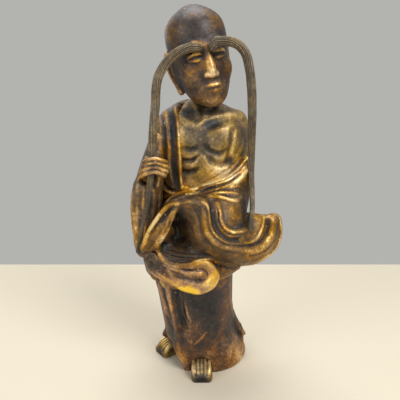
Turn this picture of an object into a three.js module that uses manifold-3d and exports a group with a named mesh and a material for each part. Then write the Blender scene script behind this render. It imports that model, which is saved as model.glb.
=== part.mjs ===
// A robed monk in cast bronze, standing, with brows so long that they arch out from the
// forehead and hang to the hips: the right one through the fist, the left one to the sleeve.
// The figure is cast in hollow sections that plug into each other and are pinned.
// Millimetres, +Z up, the figure faces -Y. "Right" and "left" are the figure's own, so its
// right side lies towards -X. The origin is under the middle of the figure's box.

import * as THREE from "three";
import { mergeVertices } from "three/addons/utils/BufferGeometryUtils.js";
import Module from "manifold-3d";

const wasm = await Module();
wasm.setup();

// Casting practice
const WALL = 5; // thickness of the hollow castings
const SEAM = 0.3; // gap where one casting plugs into or lies on another
const PIN_DIAMETER = 3;
const PIN_SUNK = 1.5; // how far a driven pin's head lies under the surface
const DOWEL_LENGTH = 8; // blind pin, half in each of two castings

// Heights, each from the one below it
const SKIRT_HEIGHT = 112; // floor to the ledge that carries the hip robe
const SPIGOT_HEIGHT = 16; // plug of the skirt inside the hip robe
const HIP_HEIGHT = 88; // ledge to the top rim of the hip robe
const CHEST_HEIGHT = 88; // rim of the hip robe to the pit of the neck
const HEAD_HEIGHT = 92; // chin to crown
const CHIN_DROP = 1; // chin below the pit of the neck

// Skirt
const HEM_WIDTH = 92;
const HEM_DEPTH = 96;
const HEM_SHIFT = 9; // the hem trails to the figure's left
const HEM_BACK = 14; // middle of the hem, behind the figure's axis
const KNEE_WIDTH = 81;
const KNEE_DEPTH = 82;
const KNEE_HEIGHT = 52;
const KNEE_SHIFT = -2;
const KNEE_BACK = 8;
const WAIST_WIDTH = 85;
const WAIST_DEPTH = 80;
const WAIST_SHIFT = -6;
const WAIST_BACK = 5;
const SPIGOT_STEP = 4; // ledge round the spigot
const PLEAT_DEPTH = 1.8;
const PLEATS_PER_TURN = 14;

// Hip robe
const HIP_WIDTH = 109;
const HIP_DEPTH = 96;
const HIP_SHIFT = -9;
const HIP_RISE = 16; // its widest place, above the ledge
const HIP_HEM_DROP = 17; // how far its hem hangs below the ledge
const HIP_HEM_TILT = 9; // rise of the hem towards the figure's left
const HIP_HEM_RISE = 9; // rise of the hem towards the front
const HIP_HEM_REACH = 40; // height over which that slant fades
const CLOTH = 1.5; // thickness of cloth over what it covers
const RIM_WIDTH = 80; // at its top rim, under the belly
const RIM_DEPTH = 66;
const RIM_SHIFT = 4;

// Torso with the left upper arm
const TORSO_PLUG = 24; // depth of the torso inside the hip robe
const BELLY_WIDTH = 71;
const BELLY_DEPTH = 55;
const CHEST_WIDTH = 81;
const CHEST_DEPTH = 60;
const SHOULDER_WIDTH = 86;
const SHOULDER_DEPTH = 50;
const TORSO_SHIFT = 6;
const NECK_DIAMETER = 28;
const NECK_BACK = 4;
const NECK_SOCKET_DEPTH = 15;
const NECK_TENON_DIAMETER = 20;
const ARM_DIAMETER = 20;
const ARM_LENGTH = 46; // shoulder to its end inside the sleeve

// Shoulder robe
const ROBE_EASE = 7; // how far the robe stands off the chest
const LAPEL_X = -23; // front edge of the robe, on the right of the chest
const ROLL_DIAMETER = 8; // rolled edge of the neckline

// Head
const HEAD_WIDTH = 59;
const HEAD_DEPTH = 65;
const HEAD_X = -1;
const HEAD_Y = -4;
const HEAD_YAW = 15; // degrees towards the figure's left
const HEAD_TILT = 12; // degrees, crown towards the figure's right
const HEAD_BOW = 4; // degrees forward
const EAR_LENGTH = 34;
const EAR_WIDTH = 13;
const EAR_THICKNESS = 6;
const NOSE_LENGTH = 22;
const NOSE_WIDTH = 9;

// Brows
const BROW_DIAMETER = 7.2;
const BROW_TIP_DIAMETER = 3.6;
const BROW_PEG_LENGTH = 8; // root inside the forehead
const BROW_FRONT = 40; // the hanging part, ahead of the figure's axis
const BROW_OUT = 51; // tip of the left brow, to the left of the figure's axis
const BROW_SWING = 15; // and behind the line that it hangs in
const BROW_DROP = 88; // tip of the right brow, below the fist
const BROW_LEAN = 16; // and out from the fist

// Right sleeve and fist
const SLEEVE_WIDTH = 31;
const SLEEVE_DEPTH = 58;
const SLEEVE_OUT = 54; // middle of the sleeve, to the right of the figure's axis
const SLEEVE_AHEAD = 14; // and ahead of it
const SLEEVE_DROP = 66; // its lowest point below the rim of the hip robe
const SLEEVE_RISE = 60; // its top above that rim
const SLEEVE_MOUTH_WIDTH = 16; // pocket under the fist
const SLEEVE_MOUTH_DEPTH = 26;
const SLEEVE_MOUTH_HEIGHT = 18;
const GRIP_OUT = 45.5; // middle of the fist, to the right of the figure's axis
const GRIP_AHEAD = 3; // and ahead of the hanging brow
const FIST_RISE = 32; // middle of the fist above the rim of the hip robe
const FINGER_DIAMETER = 5.4;
const FINGER_SPACING = 4.3; // the fingers lie pressed together
const FINGER_COUNT = 4;
const FINGER_REACH = 8.8; // middle of the brow to the middle of a finger
const WRIST_DIAMETER = 14;

// Left sleeve
const CUFF_RISE = 4; // top of the hanging sleeve above the rim of the hip robe
const CUFF_WIDTH = 104; // tip of the cuff to the side of the bag under the elbow
const CUFF_HEIGHT = 70;
const CUFF_PROUD = 17; // the sleeve's front, ahead of the hip robe's
const CUFF_BACK = 16; // the sleeve's back, ahead of the figure's axis
const MOUTH_DEPTH = 16; // floor of the sleeve's mouth, behind its front
const ELBOW_INSET = 8; // middle of the bent elbow, inside the side of the hip robe's rim
const TAIL_REACH = 86; // end of the blown-out tail, from the figure's axis
const TAIL_HEIGHT = 50;
const TAIL_THICKNESS = 14;
const TAIL_DROP = 43; // middle of the tail below the rim of the hip robe

// Front fold of the hem
const FOLD_WIDTH = 58;
const FOLD_HEIGHT = 36;
const FOLD_PROUD = 6.5; // how far it stands off the hip robe
const FOLD_SUNK = 6; // how far it reaches into the line of the hip robe
const FOLD_SHIFT = -9;
const FOLD_RISE = 9; // its middle above the ledge of the skirt
const FOLD_EDGE_DIAMETER = 5.4;

// Feet
const LEFT_FOOT_X = 2;
const RIGHT_FOOT_X = -30;
const RIGHT_FOOT_Y = 13;
const FOOT_LENGTH = 44;
const FOOT_WIDTH = 23;
const FOOT_HEIGHT = 15;
const TOE_COUNT = 5;
const LEFT_TOE_FRONT = 50; // toes of the left foot, ahead of the figure's axis
const RIGHT_FOOT_TURN = 52; // degrees outwards

const LEDGE_Z = SKIRT_HEIGHT;
const RIM_Z = LEDGE_Z + HIP_HEIGHT;
const NECK_Z = RIM_Z + CHEST_HEIGHT;
const HEAD_Z = NECK_Z - CHIN_DROP + HEAD_HEIGHT / 2;
const ARM_X = TORSO_SHIFT + (SHOULDER_WIDTH - ARM_DIAMETER) / 2 + 1;
const ELBOW_X = RIM_SHIFT + RIM_WIDTH / 2 - ELBOW_INSET;
const ARM_TOP_Z = NECK_Z - ARM_DIAMETER;
const FIST_HEIGHT = FINGER_DIAMETER + (FINGER_COUNT - 1) * FINGER_SPACING;
const ARMPIT_Z = ARM_TOP_Z - 1.2 * ARM_DIAMETER;
const TAIL_Z = RIM_Z - TAIL_DROP;
const PAST = 1; // how far a cutter runs past the face that it opens

// Angles round an upright form
const LEFT = 0;
const BACK = Math.PI / 2;
const RIGHT = Math.PI;
const FRONT = -Math.PI / 2;

const { clamp, degToRad, lerp, smoothstep } = THREE.MathUtils;

// Solids

// A closed geometry as a solid, its faces turned outwards.
function solid(geometry) {
  const bare = new THREE.BufferGeometry();
  bare.setAttribute("position", geometry.getAttribute("position"));
  bare.setIndex(geometry.getIndex());
  const merged = mergeVertices(bare, 1e-4);
  const vertProperties = new Float32Array(merged.getAttribute("position").array);
  const triVerts = new Uint32Array(merged.getIndex().array);
  const made = new wasm.Manifold(new wasm.Mesh({ numProp: 3, vertProperties, triVerts }));
  if (made.volume() > 0) {
    return made;
  }
  triVerts.reverse();
  return new wasm.Manifold(new wasm.Mesh({ numProp: 3, vertProperties, triVerts }));
}

function geometryOf(made) {
  const { numProp, vertProperties, triVerts } = made.getMesh();
  const geometry = new THREE.BufferGeometry();
  geometry.setAttribute("position", new THREE.BufferAttribute(vertProperties, numProp));
  geometry.setIndex(new THREE.BufferAttribute(triVerts, 1));
  const faceted = geometry.toNonIndexed();
  faceted.computeVertexNormals();
  return faceted;
}

function join(first, ...others) {
  return others.reduce((whole, other) => whole.add(other), first);
}

function cut(first, ...others) {
  return others.reduce((whole, other) => whole.subtract(other), first);
}

function placed(made, matrix) {
  return made.transform(matrix.elements);
}

// Skins rings of equal count into one closed solid, with a fan over each end.
function loft(rings) {
  const sides = rings[0].length;
  const points = rings.flat();
  const index = [];
  for (let r = 0; r + 1 < rings.length; r += 1) {
    for (let s = 0; s < sides; s += 1) {
      const a = r * sides + s;
      const b = r * sides + ((s + 1) % sides);
      index.push(a, b, b + sides, a, b + sides, a + sides);
    }
  }
  const fan = (ring, first, turned) => {
    const middle = ring.reduce((sum, p) => sum.add(p), new THREE.Vector3());
    const hub = points.push(middle.divideScalar(sides)) - 1;
    for (let s = 0; s < sides; s += 1) {
      const a = first + s;
      const b = first + ((s + 1) % sides);
      index.push(...(turned ? [hub, b, a] : [hub, a, b]));
    }
  };
  fan(rings[0], 0, true);
  fan(rings.at(-1), sides * (rings.length - 1), false);
  return solid(new THREE.BufferGeometry().setFromPoints(points).setIndex(index));
}

// A round bar along a curve, its radius a function of the share of the length.
function bar(route, radiusAt, sides, steps) {
  const curve = new THREE.CatmullRomCurve3(route.map((p) => new THREE.Vector3(...p)));
  const frames = curve.computeFrenetFrames(steps);
  const rings = Array.from({ length: steps + 1 }, (_, i) => {
    const middle = curve.getPointAt(i / steps);
    const radius = radiusAt(i / steps);
    return Array.from({ length: sides }, (__, s) => {
      const angle = (s / sides) * 2 * Math.PI;
      return middle
        .clone()
        .addScaledVector(frames.normals[i], radius * Math.cos(angle))
        .addScaledVector(frames.binormals[i], radius * Math.sin(angle));
    });
  });
  return loft(rings);
}

function ellipsoid([x, y, z], [rx, ry, rz], around, up) {
  const ball = new THREE.SphereGeometry(1, around, up);
  return solid(ball.scale(rx, ry, rz).translate(x, y, z));
}

// A prism with an outline of [x, z] points, between two depths.
function prism(points, front, back) {
  const shape = new THREE.Shape(points.map((p) => new THREE.Vector2(...p)));
  const block = new THREE.ExtrudeGeometry(shape, { depth: back - front, bevelEnabled: false });
  return solid(block.rotateX(Math.PI / 2).translate(0, back, 0));
}

// A smooth bump of height 1 that falls to 0 at a distance of 1.
function bump(distance) {
  return Math.abs(distance) < 1 ? (1 + Math.cos(Math.PI * distance)) / 2 : 0;
}

// An angle's distance from another, between -PI and PI.
function turnFrom(angle, middle) {
  return Math.atan2(Math.sin(angle - middle), Math.cos(angle - middle));
}

// An upright form through oval stations, each [z, middle x, middle y, width, depth].
// Relief gives the height of folds at an angle, and lift raises a ring unevenly.
function uprightForm(stations, sides, rings, relief = () => 0, lift = () => 0) {
  const heights = stations.map(([z]) => z);
  const values = stations.flatMap(([, x, y, width, depth]) => [x, y, width / 2, depth / 2]);
  const track = new THREE.CubicInterpolant(heights, values, 4);
  const low = heights[0];
  const high = heights.at(-1);

  function sectionAt(z) {
    const [x, y, halfWidth, halfDepth] = track.evaluate(clamp(z, low, high));
    return { x, y, halfWidth, halfDepth };
  }

  // The point at an angle, let out by swell square to the oval.
  function pointAt(z, angle, swell = 0) {
    const { x, y, halfWidth, halfDepth } = sectionAt(z);
    const c = Math.cos(angle) / halfWidth;
    const s = Math.sin(angle) / halfDepth;
    const out = (swell + relief(angle)) / Math.hypot(c, s);
    return new THREE.Vector3(
      x + halfWidth * Math.cos(angle) + out * c,
      y + halfDepth * Math.sin(angle) + out * s,
      z + lift(angle, z),
    );
  }

  // The point that lies at x on the side that faces the viewer, let out by proud.
  function frontAt(x, z, proud) {
    const at = sectionAt(z);
    const share = clamp((x - at.x) / at.halfWidth, -1, 1);
    return [x, at.y - at.halfDepth * Math.sqrt(1 - share * share) - proud, z];
  }

  function grown(swell = 0, from = low - swell, to = high + swell, count = sides, steps = rings) {
    return loft(
      Array.from({ length: steps + 1 }, (_, r) =>
        Array.from({ length: count }, (__, i) =>
          pointAt(lerp(from, to, r / steps), (i / count) * 2 * Math.PI, swell),
        ),
      ),
    );
  }

  return { pointAt, frontAt, grown };
}

// Skirt

const PLEATS_MIDDLE = FRONT - 0.62; // the close pleats hang on the right of the front
const PLEATS_SPREAD = 0.75;

// Pleats down the whole back, through the hip robe and the skirt alike.
function backPleats(angle) {
  const back = turnFrom(angle, BACK);
  return PLEAT_DEPTH * Math.cos(PLEATS_PER_TURN * back) * bump(back / (2 * PLEATS_SPREAD));
}

function pleats(angle) {
  const front = turnFrom(angle, PLEATS_MIDDLE);
  return PLEAT_DEPTH * Math.cos(PLEATS_PER_TURN * front) * bump(front / PLEATS_SPREAD) + backPleats(angle);
}

const skirtStations = [
  [0, HEM_SHIFT, HEM_BACK, HEM_WIDTH, HEM_DEPTH],
  [KNEE_HEIGHT, KNEE_SHIFT, KNEE_BACK, KNEE_WIDTH, KNEE_DEPTH],
  [LEDGE_Z, WAIST_SHIFT, WAIST_BACK, WAIST_WIDTH, WAIST_DEPTH],
];
const skirtForm = uprightForm(skirtStations, 56, 5, pleats);
const skirtCore = uprightForm(skirtStations, 20, 4);

const SPIGOT_WIDTH = WAIST_WIDTH - 2 * SPIGOT_STEP;
const SPIGOT_DEPTH = WAIST_DEPTH - 2 * SPIGOT_STEP;
const SPIGOT_Z = LEDGE_Z + SPIGOT_HEIGHT;

const spigotForm = uprightForm(
  [
    [LEDGE_Z - PAST, WAIST_SHIFT, WAIST_BACK, SPIGOT_WIDTH, SPIGOT_DEPTH],
    [SPIGOT_Z, WAIST_SHIFT, WAIST_BACK, SPIGOT_WIDTH, SPIGOT_DEPTH],
  ],
  24,
  1,
);

function skirtSolid(swell = 0) {
  return join(skirtForm.grown(swell), spigotForm.grown(swell));
}

// Open at the floor and through the spigot.
function skirtHollow() {
  return join(
    skirtCore.grown(-WALL, -PAST, LEDGE_Z - WALL),
    spigotForm.grown(-WALL, LEDGE_Z - 2 * WALL, SPIGOT_Z + PAST, 20),
  );
}

// Hip robe

const HIP_HEM_Z = LEDGE_Z - HIP_HEM_DROP;
const HEM_PROUD = CLOTH + PLEAT_DEPTH; // the hem clears the skirt's pleats

const hipStations = [
  [HIP_HEM_Z, WAIST_SHIFT, WAIST_BACK, WAIST_WIDTH + 2 * HEM_PROUD, WAIST_DEPTH + 2 * HEM_PROUD],
  [LEDGE_Z + HIP_RISE, HIP_SHIFT, 0, HIP_WIDTH, HIP_DEPTH],
  [
    RIM_Z - TORSO_PLUG - WALL,
    (HIP_SHIFT + RIM_SHIFT) / 2 + 3,
    1,
    (HIP_WIDTH + RIM_WIDTH) / 2,
    (HIP_DEPTH + RIM_DEPTH) / 2,
  ],
  [RIM_Z, RIM_SHIFT, 2, RIM_WIDTH, RIM_DEPTH],
];

function hemSlant(angle, z) {
  const slant = HIP_HEM_TILT * Math.cos(angle) - HIP_HEM_RISE * Math.sin(angle);
  return slant * bump((z - HIP_HEM_Z) / HIP_HEM_REACH);
}

const hipForm = uprightForm(hipStations, 56, 6, backPleats, hemSlant);
const hipCore = uprightForm(hipStations, 20, 3);

// Torso

const torsoForm = uprightForm(
  [
    [RIM_Z - TORSO_PLUG, RIM_SHIFT, 3, BELLY_WIDTH, BELLY_DEPTH],
    [RIM_Z + 0.14 * CHEST_HEIGHT, RIM_SHIFT + 1, 1, BELLY_WIDTH + 3, BELLY_DEPTH + 1],
    [NECK_Z - 0.5 * CHEST_HEIGHT, TORSO_SHIFT, 0, CHEST_WIDTH, CHEST_DEPTH],
    [NECK_Z - 0.22 * CHEST_HEIGHT, TORSO_SHIFT, 2, SHOULDER_WIDTH, SHOULDER_DEPTH],
    [NECK_Z - 0.08 * CHEST_HEIGHT, TORSO_SHIFT, NECK_BACK, SHOULDER_WIDTH * 0.77, SHOULDER_DEPTH * 0.76],
    [NECK_Z, TORSO_SHIFT, NECK_BACK, NECK_DIAMETER + 6, NECK_DIAMETER + 2],
  ],
  26,
  9,
);

function leftArm(swell = 0) {
  const thinning = 0.12; // share lost towards the elbow
  return bar(
    [
      [ARM_X - 8, 4, ARM_TOP_Z + 6],
      [ARM_X - 1, 4, ARM_TOP_Z - 8],
      [ARM_X, 4, ARM_TOP_Z - ARM_LENGTH - swell],
    ],
    (share) => (ARM_DIAMETER / 2) * (1 - thinning * share) + swell,
    12,
    6,
  );
}

function torsoSolid(swell = 0) {
  return join(torsoForm.grown(swell), leftArm(swell));
}

function torsoHollow() {
  const top = NECK_Z - NECK_SOCKET_DEPTH - WALL;
  return torsoForm.grown(-WALL, RIM_Z - TORSO_PLUG - PAST, top, 16, 4);
}

// Open to the skirt below, and to the torso through the ledge that carries it.
function hipHollow() {
  const ledge = RIM_Z - TORSO_PLUG;
  return join(
    hipCore.grown(-WALL, SPIGOT_Z - PAST, ledge - WALL),
    torsoForm.grown(-WALL, ledge - 2 * WALL, ledge + PAST, 20, 1),
  );
}

// Shoulder robe: over the right shoulder and the back, open over the chest and left shoulder

const robeForm = uprightForm(
  [
    [RIM_Z - 8, RIM_SHIFT - 2, 3, RIM_WIDTH + 10, RIM_DEPTH + 8],
    [RIM_Z + 0.25 * CHEST_HEIGHT, 0, 3, BELLY_WIDTH + 3 * ROBE_EASE, BELLY_DEPTH + 2 * ROBE_EASE],
    [NECK_Z - 0.5 * CHEST_HEIGHT, -1, 4, CHEST_WIDTH + 2 * ROBE_EASE, CHEST_DEPTH + 2 * ROBE_EASE - 2],
    [NECK_Z - 0.25 * CHEST_HEIGHT, -1, 5, SHOULDER_WIDTH + ROBE_EASE, SHOULDER_DEPTH + 2 * ROBE_EASE],
    [NECK_Z - 0.09 * CHEST_HEIGHT, 0, 7, SHOULDER_WIDTH - 10, SHOULDER_DEPTH],
    [NECK_Z + 4, 2, 9, NECK_DIAMETER + 12, NECK_DIAMETER + 4],
  ],
  28,
  8,
);

const NECKLINE_Z = RIM_Z + ROLL_DIAMETER / 4; // lowest point of the neckline, on the belly
const ABOVE_Z = HEAD_Z;

// The bare chest beside the lapel.
function chestOpening() {
  const below = RIM_Z - TORSO_PLUG;
  return prism(
    [
      [LAPEL_X + 0.02 * SHOULDER_WIDTH, ABOVE_Z],
      [LAPEL_X, NECK_Z - 0.57 * CHEST_HEIGHT],
      [LAPEL_X + 0.05 * SHOULDER_WIDTH, NECKLINE_Z + 0.14 * CHEST_HEIGHT],
      [LAPEL_X + 0.14 * SHOULDER_WIDTH, below],
      [SHOULDER_WIDTH, below],
      [SHOULDER_WIDTH, ABOVE_Z],
    ],
    -CHEST_DEPTH,
    6,
  );
}

// The left shoulder above a line across the back.
function bareShoulder() {
  return prism(
    [
      [-8, ABOVE_Z],
      [-6, NECK_Z - 4],
      [ARM_X - 4, ARMPIT_Z - 6],
      [SHOULDER_WIDTH, ARMPIT_Z - 10],
      [SHOULDER_WIDTH, ABOVE_Z],
    ],
    0,
    CHEST_DEPTH,
  );
}

// The rolled edge of the robe: down the lapel, across the belly and up to the left armpit.
function necklineRoll() {
  // Shares of the shoulders' width and of the height of the chest
  const route = [
    [0.02, 0.95],
    [0, 0.67],
    [0, 0.37],
    [0.05, 0.09],
    [0.17, 0.01],
    [0.34, 0.07],
    [0.51, 0.17],
    [0.67, 0.3],
  ].map(([across, up]) => [LAPEL_X + across * SHOULDER_WIDTH, NECKLINE_Z + up * CHEST_HEIGHT]);
  route.push([ARM_X + ARM_DIAMETER / 5, ARMPIT_Z - ARM_DIAMETER / 10]);
  const proud = 1;
  return bar(
    route.map(([x, z]) => torsoForm.frontAt(x, z, proud)),
    () => ROLL_DIAMETER / 2,
    8,
    18,
  );
}

// Head, in its own frame: its middle at the origin, face towards -Y

const headPlace = new THREE.Matrix4().compose(
  new THREE.Vector3(HEAD_X, HEAD_Y, HEAD_Z),
  new THREE.Quaternion().setFromEuler(
    new THREE.Euler(degToRad(HEAD_BOW), degToRad(-HEAD_TILT), degToRad(HEAD_YAW), "ZYX"),
  ),
  new THREE.Vector3(1, 1, 1),
);

// Each row: height, set-back, width and depth, as shares of the head's own size.
const skullForm = uprightForm(
  [
    [-0.5, -0.27, 0.36, 0.26],
    [-0.42, -0.2, 0.63, 0.54],
    [-0.27, -0.09, 0.81, 0.77],
    [-0.05, -0.01, 0.92, 0.92],
    [0.2, 0.03, 1, 1],
    [0.38, 0.04, 0.82, 0.82],
    [0.5, 0.04, 0.2, 0.2],
  ].map(([z, y, width, depth]) => [
    z * HEAD_HEIGHT,
    0,
    y * HEAD_DEPTH,
    width * HEAD_WIDTH,
    depth * HEAD_DEPTH,
  ]),
  22,
  12,
);

function skullSolid(swell = 0) {
  return placed(skullForm.grown(swell), headPlace);
}

function neckSolid(swell = 0) {
  const foot = [TORSO_SHIFT, NECK_BACK, NECK_Z - swell];
  const tenonFoot = [TORSO_SHIFT, NECK_BACK, NECK_Z - NECK_SOCKET_DEPTH - swell];
  const top = [HEAD_X + 3, HEAD_Y + 4, NECK_Z + HEAD_HEIGHT / 3];
  return join(
    bar([tenonFoot, [TORSO_SHIFT, NECK_BACK, NECK_Z + 8]], () => NECK_TENON_DIAMETER / 2 + swell, 16, 1),
    bar([foot, top], () => NECK_DIAMETER / 2 + swell, 16, 2),
  );
}

// The eyes' line lies half way up the head, and the nose's foot half way from there to the chin.
function headSolid() {
  const nose = ellipsoid(
    [0, -0.47 * HEAD_DEPTH, NOSE_LENGTH / 2 - HEAD_HEIGHT / 4],
    [NOSE_WIDTH / 2, 6, NOSE_LENGTH / 2],
    8,
    6,
  );
  const ears = [-1, 1].map((side) =>
    ellipsoid(
      [side * (HEAD_WIDTH / 2 - 1), EAR_WIDTH / 4, -EAR_LENGTH * 0.38],
      [EAR_THICKNESS / 2, EAR_WIDTH / 2, EAR_LENGTH / 2],
      10,
      8,
    ),
  );
  return join(skullSolid(), placed(join(nose, ...ears), headPlace), neckSolid());
}

// Brows

const grip = new THREE.Vector3(-GRIP_OUT, -BROW_FRONT - GRIP_AHEAD, RIM_Z + FIST_RISE);
const FOREHEAD_Y = HEAD_Y - HEAD_DEPTH / 2;

const ROOT_Y = FOREHEAD_Y + 2 + BROW_PEG_LENGTH;
const BROW_REST_Z = TAIL_Z + TAIL_HEIGHT / 2 + SEAM; // the left tip stands on the sleeve's tail

// A brow's arch, from its root inside the forehead: x as a share of where the brow hangs, y, and the
// rise above the middle of the head as a share of the head's height.
function arch(hangsAt, rows) {
  return rows.map(([across, y, rise]) => [across * hangsAt, y, HEAD_Z + rise * HEAD_HEIGHT]);
}

const rightBrowRoute = [
  ...arch(grip.x, [
    [-0.04, ROOT_Y, 0.01],
    [0.04, FOREHEAD_Y, 0.03],
    [0.22, FOREHEAD_Y - 2, 0.03],
    [0.42, -BROW_FRONT, -0.01],
    [0.59, -BROW_FRONT, -0.07],
    [0.725, -BROW_FRONT, -0.15],
    [0.825, -BROW_FRONT, -0.24],
    [0.88, -BROW_FRONT, -0.36],
    [0.9, -BROW_FRONT, -0.52],
  ]),
  // Shares of the lean and the drop under the fist
  ...[
    [-0.125, -0.32],
    [0, 0],
    [0.16, 0.25],
    [0.44, 0.52],
    [0.72, 0.75],
    [1, 1],
  ].map(([lean, drop]) => [grip.x - lean * BROW_LEAN, grip.y + lean, grip.z - drop * BROW_DROP]),
];

const leftBrowRoute = [
  ...arch(BROW_OUT, [
    [0.18, ROOT_Y, 0.02],
    [0.22, FOREHEAD_Y, 0.04],
    [0.29, FOREHEAD_Y - 2, 0.08],
    [0.43, -BROW_FRONT, 0.09],
    [0.57, -BROW_FRONT, 0.08],
    [0.7, -BROW_FRONT, 0.04],
    [0.8, -BROW_FRONT, -0.03],
  ]),
  // Shares of the way out, of the swing back and of the way down to the tip
  ...[
    [0.865, 0, 0.09],
    [0.9, 0, 0.16],
    [0.925, 0, 0.25],
    [0.95, 0.25, 0.39],
    [0.97, 0.6, 0.56],
    [0.985, 0.85, 0.73],
    [1.005, 1, 0.9],
    [1, 1, 1],
  ].map(([across, back, down]) => [
    across * BROW_OUT,
    back * BROW_SWING - BROW_FRONT,
    lerp(HEAD_Z, BROW_REST_Z, down),
  ]),
];

function browSolid(route, swell = 0) {
  const rooted = 0.06; // share of the length over which the root thickens
  const tapering = 0.35; // share from which it thins to the tip
  const rootDiameter = BROW_DIAMETER * 0.72;
  return bar(
    route,
    (share) => {
      const thick = lerp(rootDiameter, BROW_DIAMETER, smoothstep(share, 0, rooted));
      return lerp(thick, BROW_TIP_DIAMETER, smoothstep(share, tapering, 1)) / 2 + swell;
    },
    8,
    30,
  );
}

// Right sleeve: hangs from the raised forearm

const SLEEVE_FOOT = RIM_Z - SLEEVE_DROP;

// Each row: height, then the middle's place and the size as shares of the sleeve's own.
const sleeveForm = uprightForm(
  [
    [SLEEVE_FOOT, 1.11, 1.29, 0.28, 0.4],
    [SLEEVE_FOOT + SLEEVE_DROP / 3, 1.055, 1.21, 0.74, 0.86],
    [RIM_Z - 0.1 * SLEEVE_DROP, 1, 1, 1, 1],
    [RIM_Z + 0.43 * SLEEVE_RISE, 0.89, 0.64, 0.86, 0.8],
    [RIM_Z + SLEEVE_RISE, 0.685, 0.14, 0.74, 0.56],
  ].map(([z, out, ahead, width, depth]) => [
    z,
    -out * SLEEVE_OUT,
    -ahead * SLEEVE_AHEAD,
    width * SLEEVE_WIDTH,
    depth * SLEEVE_DEPTH,
  ]),
  22,
  8,
);

// The sleeve's mouth, a pocket under the fist.
function rightSleevePocket() {
  const top = grip.z - FIST_HEIGHT / 2;
  return ellipsoid(
    [grip.x, grip.y + FINGER_REACH / 2, top - 0.4 * SLEEVE_MOUTH_HEIGHT],
    [SLEEVE_MOUTH_WIDTH / 2, SLEEVE_MOUTH_DEPTH / 2, SLEEVE_MOUTH_HEIGHT / 2],
    12,
    8,
  );
}

// Right fist round the brow, in its own frame: the middle of the grip at the origin

function fistSolid(swell = 0) {
  const radius = FINGER_DIAMETER / 2;
  const fingers = Array.from({ length: FINGER_COUNT }, (_, i) => {
    const z = FIST_HEIGHT / 2 - radius - i * FINGER_SPACING;
    const reach = FINGER_REACH - 0.5 * Math.abs(i - 1);
    return bar(
      [
        [-reach, reach * 0.55, z],
        [-reach * 0.85, -reach * 0.55, z],
        [0, -reach, z - 0.4],
        [reach * 0.85, -reach * 0.6, z - 0.8],
        [reach * 0.95, reach * 0.3, z - 0.8],
        [reach * 0.2, reach * 0.75, z - 0.6],
      ],
      (share) => radius * (1 - 0.1 * share) + swell,
      6,
      8,
    );
  });
  const palm = ellipsoid(
    [-FINGER_REACH * 0.3, FINGER_REACH * 0.75, 0],
    [FINGER_REACH + swell, FINGER_DIAMETER + swell, FIST_HEIGHT / 2 + swell],
    10,
    8,
  );
  const thumb = bar(
    [
      [-FINGER_REACH * 0.74, FINGER_REACH * 0.84, FIST_HEIGHT * 0.2],
      [-FINGER_REACH * 0.63, FINGER_REACH * 0.32, FIST_HEIGHT * 0.46],
      [FINGER_REACH * 0.21, -FINGER_REACH * 0.42, FIST_HEIGHT * 0.58],
      [FINGER_REACH * 0.74, -FINGER_REACH * 0.74, FIST_HEIGHT * 0.5],
    ],
    (share) => radius * (1.05 - 0.2 * share) + swell,
    6,
    5,
  );
  const wrist = bar(
    [
      [-FINGER_REACH * 0.3, FINGER_REACH * 0.75, -FIST_HEIGHT * 0.17],
      [-FINGER_REACH * 0.63, FINGER_REACH * 1.05, -FIST_HEIGHT * 0.58],
      [-FINGER_REACH * 1.05, FINGER_REACH * 1.7, -FIST_HEIGHT * 1.25],
    ],
    () => WRIST_DIAMETER / 2 + swell,
    10,
    3,
  );
  const place = new THREE.Matrix4().makeTranslation(grip.x, grip.y, grip.z);
  return placed(join(palm, thumb, wrist, ...fingers), place);
}

// Left sleeve: over the upper arm, and a bag of cloth under the bent forearm, its mouth to the front

const CUFF_TOP = RIM_Z + CUFF_RISE;
const CUFF_FRONT = HIP_DEPTH / 2 + CUFF_PROUD;

// The cloth is drawn in the front elevation on a cuff of this size, and stretches with it.
const DRAWN_WIDTH = 104;
const DRAWN_HEIGHT = 70;

// Curves that the front of the cloth follows, in points of [x, drop below the cuff's top, set-back].
const forearmCurves = [
  [[-24, 2, 21], [4, -1, 21], [21, -5, 23], [36, -11, 29], [46, -20, 37]],
  [[-20, 6, 8], [-10, 3, 5], [0, 3, 4]],
  [[-18, 12, 8], [-8, 11, 4], [-1, 12, 2]],
];
const mouthCurves = [
  [[-22, 20, 17], [-14, 21, 12], [-7, 24, 7]],
  [[-27, 29, MOUTH_DEPTH], [-22, 37, MOUTH_DEPTH], [-28, 42, MOUTH_DEPTH]],
  [[-17, 33, MOUTH_DEPTH], [-14, 43, MOUTH_DEPTH], [-20, 47, MOUTH_DEPTH]],
  [[-5, 28, 4], [-3, 36, 4], [0, 43, 5], [5, 50, 7]],
  [[-22, 13, 5], [-27, 21, 4], [-31, 31, 5], [-36, 41, 8], [-41, 50, 11]],
  [[-20, 6, 7], [-29, 7, 5], [-35, 13, 4], [-42, 24, 5], [-49, 34, 8], [-56, 52, 15]],
];
const lipCurves = [
  [[-37, 50, 20], [-26, 56, 19], [-14, 57, 18], [-2, 57, 14], [8, 57, 11]],
  [[-37, 57, 19], [-26, 62, 14], [-12, 63, 11], [2, 60, 10]],
  [[-42, 54, 14], [-37, 63, 12], [-29, 68, 9], [-19, 69, 7], [-11, 67, 6], [-3, 63, 6], [4, 61, 6]],
];
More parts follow.
